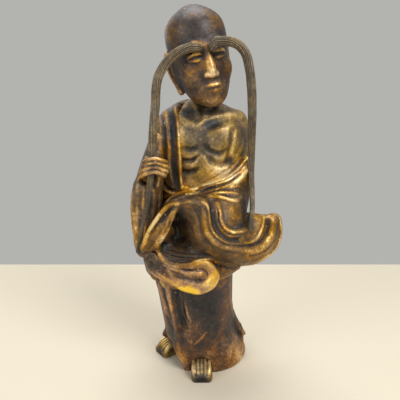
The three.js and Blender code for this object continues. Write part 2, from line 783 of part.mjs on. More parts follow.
const foldCurves = [
  [[16, 6, 8], [17, 18, 3], [19, 26, 0], [23, 30, -1], [29, 33, 0], [37, 33, 4], [44, 32, 10]],
  [[5, 5, 1], [8, 12, -1], [9, 20, -2], [12, 28, -3], [17, 34, -4], [24, 39, -3], [32, 42, 0], [46, 42, 9]],
  [[1, 12, 1], [2, 22, 0], [4, 32, -1], [9, 41, -1], [16, 47, 0], [24, 49, 1], [32, 52, 4], [40, 54, 8]],
  [[8, 53, 6], [22, 57, 6], [33, 62, 9], [48, 67, 17], [62, 67, 25], [74, 63, 33]],
  [[14, 66, 13], [31, 72, 19], [48, 76, 27]],
];
const elbowCurves = [
  [[24, 13, 7], [30, 21, 6], [31, 28, 5]],
  [[35, 13, 14], [38, 22, 12], [39, 29, 11]],
  [[6, 0, 14], [19, -2, 16], [33, 3, 18], [39, 4, 23]],
  [[12, 4, 12], [24, 7, 12], [37, 9, 17]],
  [[47, -4, 39], [47, 10, 33], [46, 22, 26]],
];
const tailCurves = [
  [[47, 22, 32], [55, 22, 33], [66, 24, 35], [72, 24, 37], [79, 27, 41], [84, 35, 46]],
  [[50, 31, 37], [51, 37, 32], [52, 40, 22]],
  [[53, 42, 18], [58, 39, 24], [61, 30, 29]],
  [[67, 32, 36], [65, 44, 31], [57, 50, 21], [47, 49, 13]],
  [[74, 31, 35], [74, 45, 33], [69, 55, 28], [60, 59, 20]],
  [[85, 49, 47], [79, 62, 39], [69, 69, 32], [56, 73, 25]],
];

const PIN_STEP = 4; // spacing of the points that hold the cloth, along a curve
const PIN_BLEND = 2; // how far round such a point the cloth stays level

const clothCurves = [
  ...forearmCurves,
  ...mouthCurves,
  ...lipCurves,
  ...foldCurves,
  ...elbowCurves,
  ...tailCurves,
];
const clothPoints = clothCurves.flatMap((curve) => {
  const across = CUFF_WIDTH / DRAWN_WIDTH;
  const down = CUFF_HEIGHT / DRAWN_HEIGHT;
  const points = curve.map(
    ([x, drop, back]) => new THREE.Vector3(x * across, back - CUFF_FRONT, CUFF_TOP - drop * down),
  );
  const route = new THREE.CatmullRomCurve3(points);
  return route.getSpacedPoints(Math.ceil(route.getLength() / PIN_STEP));
});

// Depth of the cloth's front at a place in the front elevation: the nearest points weigh most.
function clothFront(x, z) {
  let weights = 0;
  let sum = 0;
  for (const point of clothPoints) {
    const apart = (x - point.x) ** 2 + (z - point.z) ** 2 + PIN_BLEND ** 2;
    weights += 1 / apart ** 2;
    sum += point.y / apart ** 2;
  }
  return sum / weights;
}

const CLOTH_ROUND = 3; // rounding of the cloth's edges

// Cloth hung through upright columns, each [x, top, foot], its back at a depth given by the front's.
function clothSolid(columns, backAt, [columnSteps, frontSteps, backSteps], swell) {
  const route = new THREE.CatmullRomCurve3(columns.map((p) => new THREE.Vector3(...p)));
  return loft(
    route.getSpacedPoints(columnSteps).map(({ x, y: top, z: foot }, i) => {
      const outward = { 0: -swell, [columnSteps]: swell }[i] ?? 0;
      const pointAt = (share, back) => {
        const z = lerp(foot, top, share);
        const rounding = CLOTH_ROUND * Math.abs(2 * share - 1) ** 8;
        const front = clothFront(x, z) + rounding - swell;
        const y = back ? backAt(front + swell) + swell : front;
        return new THREE.Vector3(x + outward, y, z + swell * (2 * share - 1));
      };
      const fronts = Array.from({ length: frontSteps + 1 }, (_, k) => pointAt(k / frontSteps, false));
      const backs = Array.from({ length: backSteps + 1 }, (_, k) => pointAt(1 - k / backSteps, true));
      return [...fronts, ...backs];
    }),
  );
}

// Each row: x, and the cloth's top above and foot below the cuff's top, on the drawn cuff.
const sleeveColumns = [
  [-58, -51, 55],
  [-52, -41, 56],
  [-46, -31, 56],
  [-41, -24, 56],
  [-36, -15, 63],
  [-30, -7, 68],
  [-24, -3, 70],
  [-16, 0, 70],
  [-8, 0, 67],
  [0, -2, 64],
  [8, -3, 62],
  [16, -2, 65],
  [24, 1, 69],
  [32, 4, 71],
  [39, 6, 69],
  [46, 5, 66],
].map(([x, rise, drop]) => [
  (x * CUFF_WIDTH) / DRAWN_WIDTH,
  CUFF_TOP + (rise * CUFF_HEIGHT) / DRAWN_HEIGHT,
  CUFF_TOP - (drop * CUFF_HEIGHT) / DRAWN_HEIGHT,
]);

function leftSleeveSolid(swell = 0) {
  const bag = clothSolid(sleeveColumns, () => -CUFF_BACK, [21, 14, 1], swell);
  const upperArm = bar(
    [
      [ARM_X, 4, ARMPIT_Z - 6 + swell],
      [ELBOW_X + 2, 1, RIM_Z + ARM_DIAMETER / 2],
      [ELBOW_X - 6, -CUFF_BACK, CUFF_TOP - ARM_DIAMETER],
    ],
    (share) => ARM_DIAMETER / 2 + CLOTH * (1 + share) + swell,
    14,
    5,
  );
  return join(bag, upperArm);
}

// Tail of the left sleeve, blown out to the side

const [BAG_SIDE, , BAG_FOOT] = sleeveColumns.at(-1);

// Each row: x as a share of the reach, then top and foot as shares of the height.
const tailColumns = [
  [(BAG_SIDE + SEAM) / TAIL_REACH, 0.5, -0.42],
  [0.63, 0.49, -0.48],
  [0.72, 0.47, -0.5],
  [0.81, 0.47, -0.43],
  [0.9, 0.42, -0.34],
  [0.955, 0.3, -0.23],
  [1, 0.12, -0.04],
].map(([across, top, foot]) => [
  across * TAIL_REACH,
  TAIL_Z + top * TAIL_HEIGHT,
  TAIL_Z + foot * TAIL_HEIGHT,
]);

function tailSolid() {
  return clothSolid(tailColumns, (front) => front + TAIL_THICKNESS, [9, 7, 5], 0);
}

// Front fold of the hip robe's hem

const FOLD_Z = LEDGE_Z + FOLD_RISE;

function hemFoldSolid() {
  const [x, y, z] = hipForm.frontAt(FOLD_SHIFT, FOLD_Z, -FOLD_SUNK);
  const right = x - FOLD_WIDTH / 2;
  const foot = z - FOLD_HEIGHT / 2;
  const edge = bar(
    [
      [-0.03, 0.4, 0.78],
      [0.15, 0.72, 0.3],
      [0.38, 0.96, 0.06],
      [0.65, 0.88, 0.08],
      [0.97, 0.64, 0.42],
      [0.88, 0.64, 0.78],
    ].map(([across, out, up]) => [
      right + across * FOLD_WIDTH,
      y - out * (FOLD_SUNK + FOLD_PROUD),
      foot + up * FOLD_HEIGHT,
    ]),
    () => FOLD_EDGE_DIAMETER / 2,
    7,
    14,
  );
  const pad = ellipsoid([x, y, z], [FOLD_WIDTH / 2, FOLD_SUNK + FOLD_PROUD, FOLD_HEIGHT / 2], 16, 10);
  return join(pad, edge);
}

// Feet, in their own frame: sole on the floor, toes towards -Y

function footSolid(matrix, swell = 0) {
  const across = 20;
  const toesEnd = 0.5; // share of the length over which the toes part
  const partAt = (share) => (share < toesEnd ? 0.09 : 0.04);
  const rings = [
    [0, 0.55, 0.82],
    [0.05, 0.72, 0.96],
    [0.16, 0.82, 1],
    [0.4, 1, 0.96],
    [1, 1.1, 0.82],
  ].map(([share, height, width]) => {
    const y = FOOT_LENGTH * (share - 0.5) + Math.sign(share - 0.5) * swell;
    const half = (FOOT_WIDTH / 2) * width + swell;
    const top = FOOT_HEIGHT * height + 2 * swell;
    return Array.from({ length: across + 1 }, (_, k) => {
      const angle = (Math.PI * k) / across;
      const toes = 1 - partAt(share) * (1 - Math.cos(2 * TOE_COUNT * angle));
      const up = top * Math.sin(angle) ** 0.6 * toes - swell;
      return new THREE.Vector3(half * Math.cos(angle), y, up);
    });
  });
  return placed(loft(rings), matrix);
}

const leftFootPlace = new THREE.Matrix4().makeTranslation(
  LEFT_FOOT_X,
  FOOT_LENGTH / 2 - LEFT_TOE_FRONT,
  0,
);
const rightFootPlace = new THREE.Matrix4()
  .makeRotationZ(degToRad(-RIGHT_FOOT_TURN))
  .setPosition(RIGHT_FOOT_X, RIGHT_FOOT_Y, 0);

// Pins

// Driven from outside through the outer casting and into the inner one.
function driven(outer, inner, z, angle, depth) {
  const from = outer.pointAt(z, angle, -PIN_SUNK).setZ(z);
  const to = inner.pointAt(z, angle, -depth).setZ(z);
  return { from, to, open: true };
}

// Blind, across the face where two castings meet.
function dowel(point, along) {
  const middle = new THREE.Vector3(...point);
  return {
    from: middle.clone().addScaledVector(along, -DOWEL_LENGTH / 2),
    to: middle.clone().addScaledVector(along, DOWEL_LENGTH / 2),
    open: false,
  };
}

function pinSolid({ from, to, open }, swell = 0) {
  const along = to.clone().sub(from).normalize();
  const start = from.clone().addScaledVector(along, swell && open ? -2 * PIN_SUNK : -swell);
  const end = to.clone().addScaledVector(along, swell);
  return bar([start.toArray(), end.toArray()], () => PIN_DIAMETER / 2 + swell, 8, 1);
}

const xAxis = new THREE.Vector3(1, 0, 0);
const yAxis = new THREE.Vector3(0, 1, 0);
const spigotPinZ = LEDGE_Z + SPIGOT_HEIGHT / 2;
const plugPinZ = RIM_Z - TORSO_PLUG / 2;
const neckPinZ = NECK_Z - NECK_SOCKET_DEPTH / 2;
const intoWall = WALL - 1;
const tailPinZ = BAG_FOOT + TAIL_THICKNESS / 2;
const tailPinY = clothFront(BAG_SIDE, tailPinZ) + TAIL_THICKNESS / 2;

const pins = {
  waist_pin_left: driven(hipForm, spigotForm, spigotPinZ, LEFT + 0.6, intoWall),
  waist_pin_right: driven(hipForm, spigotForm, spigotPinZ, RIGHT - 0.4, intoWall),
  waist_pin_back: driven(hipForm, spigotForm, spigotPinZ, BACK, intoWall),
  chest_pin_left: driven(hipForm, torsoForm, plugPinZ, BACK - 0.6, intoWall),
  chest_pin_right: driven(hipForm, torsoForm, plugPinZ, BACK + 0.6, intoWall),
  neck_pin: driven(torsoForm, torsoForm, neckPinZ, BACK, SHOULDER_DEPTH / 2 - 4),
  right_sleeve_dowel: dowel(hipForm.pointAt(plugPinZ, RIGHT).toArray(), xAxis),
  left_sleeve_dowel_right: dowel(hipForm.frontAt(-CUFF_WIDTH / 10, plugPinZ, 0), yAxis),
  left_sleeve_dowel_left: dowel(hipForm.frontAt(CUFF_WIDTH / 4, plugPinZ, 0), yAxis),
  sleeve_tail_dowel: dowel([BAG_SIDE, tailPinY, tailPinZ], xAxis),
  hem_fold_dowel: dowel(hipForm.frontAt(FOLD_SHIFT, FOLD_Z, 0), yAxis),
};

// Assembly

function bronze(color, roughness) {
  return new THREE.MeshStandardMaterial({ color, roughness, metalness: 0.85 });
}

const DARK = 0x3d2f22; // patinated bronze
const RUBBED = 0x5a4325; // skin, rubbed brighter
const GILT = 0x9a6a1e; // worn gilding on the hem
const BARE = 0x6a4a26; // pins

const rightBrowGrown = browSolid(rightBrowRoute, SEAM);
const leftBrowGrown = browSolid(leftBrowRoute, SEAM);
const skullGrown = skullSolid(SEAM);
const neckGrown = neckSolid(SEAM);
const torsoGrown = torsoSolid(SEAM);
const hipGrown = hipForm.grown(SEAM);
const skirtGrown = skirtSolid(SEAM);
const robeGrown = robeForm.grown(SEAM);
const rightSleeveGrown = sleeveForm.grown(SEAM);
const leftSleeveGrown = leftSleeveSolid(SEAM);
const feetGrown = [leftFootPlace, rightFootPlace].map((place) => footSolid(place, SEAM));

const castings = {
  skirt: [cut(skirtSolid(), skirtHollow(), ...feetGrown), DARK],
  hip_robe: [cut(hipForm.grown(), skirtGrown, hipHollow(), torsoGrown), DARK],
  torso: [cut(torsoSolid(), torsoHollow(), neckGrown, skullGrown), RUBBED],
  shoulder_robe: [
    cut(
      join(cut(robeForm.grown(), chestOpening(), bareShoulder()), necklineRoll()),
      torsoGrown,
      hipGrown,
      neckGrown,
      skullGrown,
      leftSleeveGrown,
    ),
    DARK,
  ],
  head: [cut(headSolid(), rightBrowGrown, leftBrowGrown), RUBBED],
  right_eyebrow: [browSolid(rightBrowRoute), DARK],
  left_eyebrow: [browSolid(leftBrowRoute), DARK],
  right_sleeve: [
    cut(sleeveForm.grown(), rightSleevePocket(), robeGrown, hipGrown, rightBrowGrown, fistSolid(SEAM)),
    DARK,
  ],
  right_hand: [cut(fistSolid(), rightBrowGrown), RUBBED],
  left_sleeve: [
    cut(
      leftSleeveSolid(),
      hipGrown,
      torsoGrown,
      rightSleeveGrown,
      rightBrowGrown,
      leftBrowGrown,
    ),
    DARK,
  ],
  left_sleeve_tail: [
    cut(tailSolid(), leftSleeveGrown, hipGrown, torsoGrown, leftBrowGrown),
    DARK,
  ],
  hem_fold: [cut(hemFoldSolid(), hipGrown, skirtGrown, leftSleeveGrown), GILT],
  left_foot: [footSolid(leftFootPlace), RUBBED],
  right_foot: [footSolid(rightFootPlace), RUBBED],
};

const figure = new THREE.Group();

function add(name, made, color, roughness) {
  const mesh = new THREE.Mesh(geometryOf(made), bronze(color, roughness));
  mesh.name = name;
  figure.add(mesh);
}

const pinHoles = Object.values(pins).map((pin) => pinSolid(pin, SEAM));
for (const [name, [made, color]] of Object.entries(castings)) {
  add(name, cut(made, ...pinHoles), color, 0.48);
}
for (const [name, pin] of Object.entries(pins)) {
  add(name, pinSolid(pin), BARE, 0.6);
}

const box = new THREE.Box3().setFromObject(figure);
const middle = box.getCenter(new THREE.Vector3());
figure.children.forEach((mesh) => mesh.position.set(-middle.x, -middle.y, -box.min.z));

export default figure;
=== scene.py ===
"""Looks of a standing monk in cast, patinated and part-gilt bronze.

Each casting starts as a distance field of its CAD solid, in millimetres. Folds, hems, ribs, fingers
and toes are laid on that field as ridges and grooves along drawn lines, and it is meshed again.
Lines on the front are drawn as (x, z) points on an upright plane, as the eye sees them, and lines
on the back on the back elevation, in the figure's own axes: x to its left, y to its back, z up
from the floor.
"""

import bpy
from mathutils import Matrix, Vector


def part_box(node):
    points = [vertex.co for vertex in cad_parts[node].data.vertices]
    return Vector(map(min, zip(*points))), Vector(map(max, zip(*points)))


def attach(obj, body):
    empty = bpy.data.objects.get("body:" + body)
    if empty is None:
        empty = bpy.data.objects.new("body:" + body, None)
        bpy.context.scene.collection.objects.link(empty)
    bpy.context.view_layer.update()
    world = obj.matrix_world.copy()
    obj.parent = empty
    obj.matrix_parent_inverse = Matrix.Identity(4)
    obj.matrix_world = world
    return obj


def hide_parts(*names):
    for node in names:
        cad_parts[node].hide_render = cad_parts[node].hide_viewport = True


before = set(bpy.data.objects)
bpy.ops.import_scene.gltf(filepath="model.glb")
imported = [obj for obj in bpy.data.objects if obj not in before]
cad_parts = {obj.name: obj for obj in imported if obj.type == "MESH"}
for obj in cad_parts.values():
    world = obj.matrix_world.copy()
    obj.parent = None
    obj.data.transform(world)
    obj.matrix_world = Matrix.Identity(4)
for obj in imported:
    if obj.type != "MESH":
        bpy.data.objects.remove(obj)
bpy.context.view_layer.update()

import functools
import math

import bmesh
import bpy
import numpy as np
import openvdb
from bpy.props import FloatProperty, FloatVectorProperty, PointerProperty
from mathutils import Euler, Vector

bl_info = {
    "name": "Bronze Monk Dresser",
    "version": (1, 0, 0),
    "blender": (4, 5, 0),
    "location": "3D View > Sidebar > Monk",
    "description": "Sculpts and patinates the castings of a standing bronze monk",
    "category": "Object",
}

MM = 0.001
BODY = "root"
BACK = None  # in place of a drawing plane: the line lies on the back elevation

# Where the camera stands in the figure's axes, and how many degrees it looks down
EYE = np.array([0.0, -416.0, 288.0])
EYE_TILT = 13.6

# The left foot gives the figure's axes: its middle stands 2 mm to the left of the figure's axis,
# and its toes reach 50 mm ahead of it.
LEFT_FOOT_X = 2.0
LEFT_TOE_Y = -50.0
FOOT_LOW, FOOT_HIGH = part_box("left_foot")
SHIFT = np.array([
    (FOOT_LOW[0] + FOOT_HIGH[0]) / 2 / MM - LEFT_FOOT_X,
    FOOT_LOW[1] / MM - LEFT_TOE_Y,
    0.0,
])

# Drawn lines: the step along them, the depths between which the surface is looked for, ahead of the
# figure and behind it, and the share of a line over which it fades in and out
LINE_STEP = 1.6
NEAR_Y, FAR_Y = -80.0, 70.0
BACK_Y = 75.0
RAY_POINTS = 400
LINE_FADE = 0.18

# Gilding reaches this far from a line, and fades over this width
GILT_REACH = 1.44
GILT_FADE = 1.2

# Range of the wear that relief gives, and of the broad forms' wear and painted highlight, from a
# deep hollow to a sharp ridge
HOLLOW, RIDGE = -0.6, 0.22

OUTSIDE = 9.0


# Clay: the distance field that a casting is sculpted in


def blurred(field, sigma):
    """The field after a Gaussian blur that is cut off at 2.5 sigma, sigma in voxels."""
    reach = max(1, int(round(2.5 * sigma)))
    weights = np.exp(-0.5 * (np.arange(-reach, reach + 1) / sigma) ** 2)
    weights = (weights / weights.sum()).astype(np.float32)
    for axis in range(3):
        pad = [(0, 0)] * 3
        pad[axis] = (reach, reach)
        padded = np.pad(field, pad, mode="edge")
        count = field.shape[axis]
        total = np.zeros_like(field)
        for i, weight in enumerate(weights):
            cut = [slice(None)] * 3
            cut[axis] = slice(i, i + count)
            total += weight * padded[tuple(cut)]
        field = total
    return field


def smooth_min(a, b, blend):
    """The smaller of two distances, rounded where they are within a blend of each other."""
    h = np.maximum(blend - np.abs(a - b), 0.0) / blend
    return np.minimum(a, b) - h * h * blend * 0.25


def seen(plane, points):
    """Points in space from rows of x, z and depth: the eye sees each at x and z of the plane."""
    rows = np.asarray(points, dtype=float)
    on_plane = np.stack([rows[:, 0], np.full(len(rows), float(plane)), rows[:, 1]], axis=1)
    return EYE + (on_plane - EYE) * ((rows[:, 2] - EYE[1]) / (plane - EYE[1]))[:, None]


def spline(points, step):
    """Points about a step apart along a smooth curve through the given ones."""
    p = np.asarray(points, dtype=float)
    if len(p) == 2:
        p = np.array([p[0], (p[0] + p[1]) / 2, p[1]])
    ends = np.vstack([2 * p[0] - p[1], p, 2 * p[-1] - p[-2]])
    out = []
    for i in range(1, len(ends) - 2):
        a, b, c, d = ends[i - 1:i + 3]
        count = max(1, int(np.ceil(np.linalg.norm(c - b) / step)))
        t = (np.arange(count) / count)[:, None]
        out.append(0.5 * (2 * b + (c - a) * t + (2 * a - 5 * b + 4 * c - d) * t ** 2
                          + (3 * b - a - 3 * c + d) * t ** 3))
    out.append(p[-1:])
    return np.vstack(out)


class Drape:
    """Cloth seen from the front, as a depth over an upright plane: a smooth sheet through drawn
    curves of x, z and depth."""

    STEP = 0.8  # spacing of the sheet's points
    PIN_SPACING = 5.0  # spacing of the pins that hold it along a curve
    SLACK = 0.3  # how loosely they hold it
    STEEPEST = 5  # limit of the correction for steep cloth

    def __init__(self, plane, low, high, curves):
        self.plane = plane
        self.low = np.array(low, dtype=float)
        pins = np.vstack([spline(curve, self.PIN_SPACING) for curve in curves])
        self.x = np.arange(low[0], high[0], self.STEP)
        self.z = np.arange(low[1], high[1], self.STEP)
        count = len(pins)
        system = np.zeros((count + 3, count + 3))
        system[:count, :count] = self.kernel(pins[:, None, :2] - pins[None, :, :2])
        system[:count, :count] -= self.SLACK * np.eye(count)
        system[:count, count:] = np.column_stack([np.ones(count), pins[:, :2]])
        system[count:, :count] = system[:count, count:].T
        weights = np.linalg.solve(system, np.concatenate([pins[:, 2], np.zeros(3)]))
        grid = np.stack(np.meshgrid(self.x, self.z, indexing="ij"), axis=-1)
        self.depth = weights[count] + grid @ weights[count + 1:]
        for pin, weight in zip(pins, weights):
            self.depth += weight * self.kernel(grid - pin[:2])
        slope = np.gradient(self.depth, self.STEP)
        self.steep = np.clip(np.sqrt(1 + slope[0] ** 2 + slope[1] ** 2), 1, self.STEEPEST)

    @staticmethod
    def kernel(away):
        """How far apart points of the plane are, rounded within a millimetre."""
        return np.sqrt((away ** 2).sum(axis=-1) + 1.0)

    def inside(self, outline):
        """Distance to a closed outline at each point of the sheet, negative inside it."""
        corners = spline(list(outline) + [outline[0]], 2.0)
        grid = np.stack(np.meshgrid(self.x, self.z, indexing="ij"), axis=-1)
        best = np.full(grid.shape[:2], 1e6)
        within = np.zeros(grid.shape[:2], dtype=bool)
        for a, b in zip(corners[:-1], corners[1:]):
            d = b - a
            t = np.clip(((grid - a) @ d) / max(float(d @ d), 1e-9), 0, 1)
            best = np.minimum(best, ((grid - a - t[..., None] * d) ** 2).sum(axis=-1))
            crosses = (a[1] > grid[..., 1]) != (b[1] > grid[..., 1])
            at = a[0] + (grid[..., 1] - a[1]) / (d[1] if d[1] else 1e-9) * d[0]
            within ^= crosses & (grid[..., 0] < at)
        return np.where(within, -1, 1) * np.sqrt(best)

    def look_up(self, sheet, u, v):
        """Values of a sheet at points of the plane."""
        i = np.clip((u - self.low[0]) / self.STEP, 0, sheet.shape[0] - 1.001)
        j = np.clip((v - self.low[1]) / self.STEP, 0, sheet.shape[1] - 1.001)
        a, b = i.astype(int), j.astype(int)
        s, t = i - a, j - b
        return ((1 - s) * ((1 - t) * sheet[a, b] + t * sheet[a, b + 1])
                + s * ((1 - t) * sheet[a + 1, b] + t * sheet[a + 1, b + 1])).astype(np.float32)


class Clay:
    """A casting's distance field, negative inside, with the gilding that the lines leave on it.
    soften is the blur that takes the facets off, room the space left for forms round the solid,
    and beside the cloth of a neighbour, so that wear and the painted highlight run on over the seam."""

    def __init__(self, node, soften, room=9.0):
        self.node = node
        self.step = bpy.context.scene.monk_sculpt.voxel / MM
        self.step *= 1.0
        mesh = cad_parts[node].data
        points = np.empty(3 * len(mesh.vertices), dtype=np.float32)
        mesh.vertices.foreach_get("co", points)
        points = (points.reshape(-1, 3) / MM - SHIFT).astype(np.float32)
        mesh.calc_loop_triangles()
        faces = np.empty(3 * len(mesh.loop_triangles), dtype=np.int32)
        mesh.loop_triangles.foreach_get("vertices", faces)
        self.first = np.floor((points.min(0) - room) / self.step).astype(int)
        last = np.ceil((points.max(0) + room) / self.step).astype(int)
        self.field = np.empty(last - self.first + 1, dtype=np.float32)
        grid = openvdb.FloatGrid.createLevelSetFromPolygons(
            points, triangles=faces.reshape(-1, 3).astype(np.uint32),
            transform=openvdb.createLinearTransform(self.step), halfWidth=room / self.step)
        grid.copyToArray(self.field, ijk=tuple(int(i) for i in self.first))
        if soften:
            self.field = blurred(self.field, soften / self.step)
        self.gilt = np.zeros_like(self.field)
        self.beside = None

    def window(self, low, high):
        """Slices of the voxels between two corners, and their x, y and z."""
        a = np.floor(np.asarray(low) / self.step).astype(int) - self.first
        b = np.ceil(np.asarray(high) / self.step).astype(int) - self.first + 1
        a = np.clip(a, 0, np.array(self.field.shape) - 1)
        b = np.clip(b, a + 1, self.field.shape)
        cut = tuple(slice(i, j) for i, j in zip(a, b))
        x, y, z = (((np.arange(i, j) + f) * self.step).astype(np.float32)
                   for i, j, f in zip(a, b, self.first))
        return cut, x[:, None, None], y[None, :, None], z[None, None, :]

    def tube(self, route, radii, reach):
        """Window round a bar of changing radius along a route, and the distance to the bar."""
        route = np.asarray(route, dtype=np.float32)
        radii = np.broadcast_to(np.asarray(radii, dtype=np.float32), (len(route),))
        out = radii.max() + reach
        cut, x, y, z = self.window(route.min(0) - out, route.max(0) + out)
        best = np.full(self.field[cut].shape, reach, dtype=np.float32)
        origin = np.array([s.start for s in cut]) + self.first
        for (a, b), (ra, rb) in zip(zip(route[:-1], route[1:]), zip(radii[:-1], radii[1:])):
            low = np.floor((np.minimum(a, b) - out) / self.step).astype(int) - origin
            high = np.ceil((np.maximum(a, b) + out) / self.step).astype(int) - origin + 1
            low = np.clip(low, 0, best.shape)
            high = np.clip(high, 0, best.shape)
            if np.any(high <= low):
                continue
            i, j, k = (slice(p, q) for p, q in zip(low, high))
            px, py, pz = x[i] - a[0], y[:, j] - a[1], z[:, :, k] - a[2]
            d = b - a
            t = np.clip((px * d[0] + py * d[1] + pz * d[2]) / max(float(d @ d), 1e-6), 0, 1)
            gap = np.sqrt((px - t * d[0]) ** 2 + (py - t * d[1]) ** 2 + (pz - t * d[2]) ** 2)
            gap -= ra + t * (rb - ra)
            np.minimum(best[i, j, k], gap, out=best[i, j, k])
        return cut, best

    def merge(self, cut, gap, blend, gilt, carve=False):
        """Joins a distance to the field, or takes it out, and gilds what lies close to it, or darkens it
        where gilt is negative, in the sleeve's mouth as painted shade.
        """
        old = self.field[cut]
        if carve:
            self.field[cut] = -smooth_min(-old, gap, blend)
        else:
            self.field[cut] = smooth_min(old, gap, blend)
        if gilt:
            near = np.clip((GILT_REACH - gap) / GILT_FADE, 0, 1)
            self.gilt[cut] += near * (gilt - self.gilt[cut])

    def roll(self, points, radii, blend=2.0, gilt=0.0, carve=False):
        """A bar through points in space, its radius one number or a row of them along it."""
        route = spline(points, LINE_STEP)
        if np.ndim(radii):
            share = np.linspace(0, 1, len(route))
            radii = np.interp(share, np.linspace(0, 1, len(radii)), radii)
        self.merge(*self.tube(route, radii, blend + 2), blend, gilt, carve)

    def ball(self, middle, radii, blend=2.0, gilt=0.0, carve=False, turn=None):
        """An ellipsoid, its own axes turned by a 3 x 3 matrix."""
        middle = np.asarray(middle, dtype=np.float32)
        radii = np.asarray(radii, dtype=np.float32)
        out = radii.max() + blend + 2
        cut, x, y, z = self.window(middle - out, middle + out)
        p = np.stack(np.broadcast_arrays(x - middle[0], y - middle[1], z - middle[2]), axis=-1)
        if turn is not None:
            p = p @ np.asarray(turn, dtype=np.float32)
        k0 = np.linalg.norm(p / radii, axis=-1)
        k1 = np.linalg.norm(p / radii ** 2, axis=-1)
        gap = k0 * (k0 - 1) / np.maximum(k1, 1e-4)
        self.merge(cut, gap.astype(np.float32), blend, gilt, carve)

    def surface(self, x, z, plane):
        """The point of the surface that the eye sees at x and z of an upright plane, or that lies
        at x and z on the back. None where the line passes the casting."""
        if plane is BACK:
            near, far = np.array([x, BACK_Y, z]), np.array([x, -BACK_Y, z])
        else:
            ray = np.array([x, plane, z]) - EYE
            near, far = (EYE + ray * (y - EYE[1]) / ray[1] for y in (NEAR_Y, FAR_Y))
        path = near + (far - near) * np.linspace(0, 1, RAY_POINTS)[:, None]
        at = np.round(path / self.step).astype(int) - self.first
        inside = np.all((at >= 0) & (at < self.field.shape), axis=1)
        if not inside.any():
            return None
        path, at = path[inside], at[inside]
        gaps = self.field[tuple(at.T)]
        solid = np.nonzero(gaps < 0)[0]
        if not len(solid):
            close = np.argmin(gaps)
            return path[close] if gaps[close] < 1.5 else None
        i = solid[0]
        if i:
            share = gaps[i - 1] / (gaps[i - 1] - gaps[i])
            return path[i - 1] + share * (path[i] - path[i - 1])
        return path[i]

    def outward(self, point):
        """Direction away from the solid at a point."""
        i, j, k = np.clip(np.round(point / self.step).astype(int) - self.first, 2,
                          np.array(self.field.shape) - 3)
        f = self.field
        slope = np.array([
            f[i + 2, j, k] - f[i - 2, j, k],
            f[i, j + 2, k] - f[i, j - 2, k],
            f[i, j, k + 2] - f[i, j, k - 2],
        ])
        return slope / max(np.linalg.norm(slope), 1e-6)

    def line(self, points, width, rise, gilt, plane):
        """A ridge along a drawn line, or a groove where rise is negative, fading at its ends."""
        drawn = spline(points, LINE_STEP)
        share = np.linspace(0, 1, len(drawn))
        ease = np.clip(np.minimum(share, 1 - share) / LINE_FADE, 0, 1)
        ease = ease * ease * (3 - 2 * ease)
        depth = abs(rise)
        radius = (width * width / 4 + depth * depth) / (2 * depth)
        sign = 1 if rise > 0 else -1
        route = []
        for (x, z), e in zip(drawn, ease):
            point = self.surface(x, z, plane)
            if point is not None:
                route.append(point - sign * self.outward(point) * (radius - depth * e))
        if len(route) < 2:
            return
        route = np.array(route)
        if len(route) > 4:
            inner = (route[:-2] + route[1:-1] + route[2:]) / 3
            route = np.vstack([route[:1], inner, route[-1:]])
        blend = min(2.5, 0.5 * width)
        cut, gap = self.tube(route, radius, blend + 1.5)
        self.merge(cut, gap, blend, gilt, carve=rise < 0)

    def lines(self, plane, rows):
        """Lines drawn on a plane, each with its points, width, rise and gilding."""
        for points, width, rise, gilt in rows:
            self.line(points, width, rise, gilt, plane)

    def slab(self, sheet, outline, thick, sunk=0.0):
        """Distances to the front of a sheet, to an outline on it and to the cloth within it."""
        shape = np.array(self.field.shape)
        _, x, y, z = self.window(self.first * self.step, (self.first + shape) * self.step)
        scale = (sheet.plane - EYE[1]) / (y - EYE[1])
        u, v = np.broadcast_arrays(x * scale, EYE[2] + (z - EYE[2]) * scale)
        depth = sheet.look_up(sheet.depth, u, v) + sunk
        inside = sheet.look_up(sheet.inside(outline), u, v)
        front = (depth - y) / sheet.look_up(sheet.steep, u, v)
        cloth = np.maximum(-smooth_min(-front, -inside, 5.0), y - depth - thick)
        return front, inside, cloth

    def drape(self, sheet, outline, thick, trim, sunk=0.0):
        """Lays a sheet of cloth over the front within an outline, and cuts away what stands before
        it, and what stands beside it ahead of the depth trim."""
        front, inside, cloth = self.slab(sheet, outline, thick, sunk)
        y = ((np.arange(self.field.shape[1]) + self.first[1]) * self.step)[None, :, None]
        old = np.maximum(self.field, np.minimum(-inside, front))
        old = np.maximum(old, np.minimum(inside, trim - y))
        self.field = smooth_min(old, cloth, 1.0).astype(np.float32)

    def wash(self, middle, radii, gilt):
        """Gilding, or a dark wash where it is negative, over a soft patch. Some of the washes are painted
        highlight and shade.
        """
        middle, radii = np.asarray(middle, dtype=float), np.asarray(radii, dtype=float)
        cut, x, y, z = self.window(middle - radii, middle + radii)
        share = np.sqrt(((x - middle[0]) / radii[0]) ** 2 + ((y - middle[1]) / radii[1]) ** 2
                        + ((z - middle[2]) / radii[2]) ** 2)
        self.gilt[cut] += gilt * np.clip(1.4 - 1.4 * share, 0, 1)

    def sample(self, field, points):
        """A field's values at points."""
        at = points / self.step - self.first
        low = np.clip(np.floor(at).astype(int), 0, np.array(field.shape) - 2)
        share = np.clip(at - low, 0, 1)
        total = np.zeros(len(points))
        for corner in np.ndindex(2, 2, 2):
            weight = np.prod(np.where(corner, share, 1 - share), axis=1)
            total += weight * field[tuple((low + corner).T)]
        return total

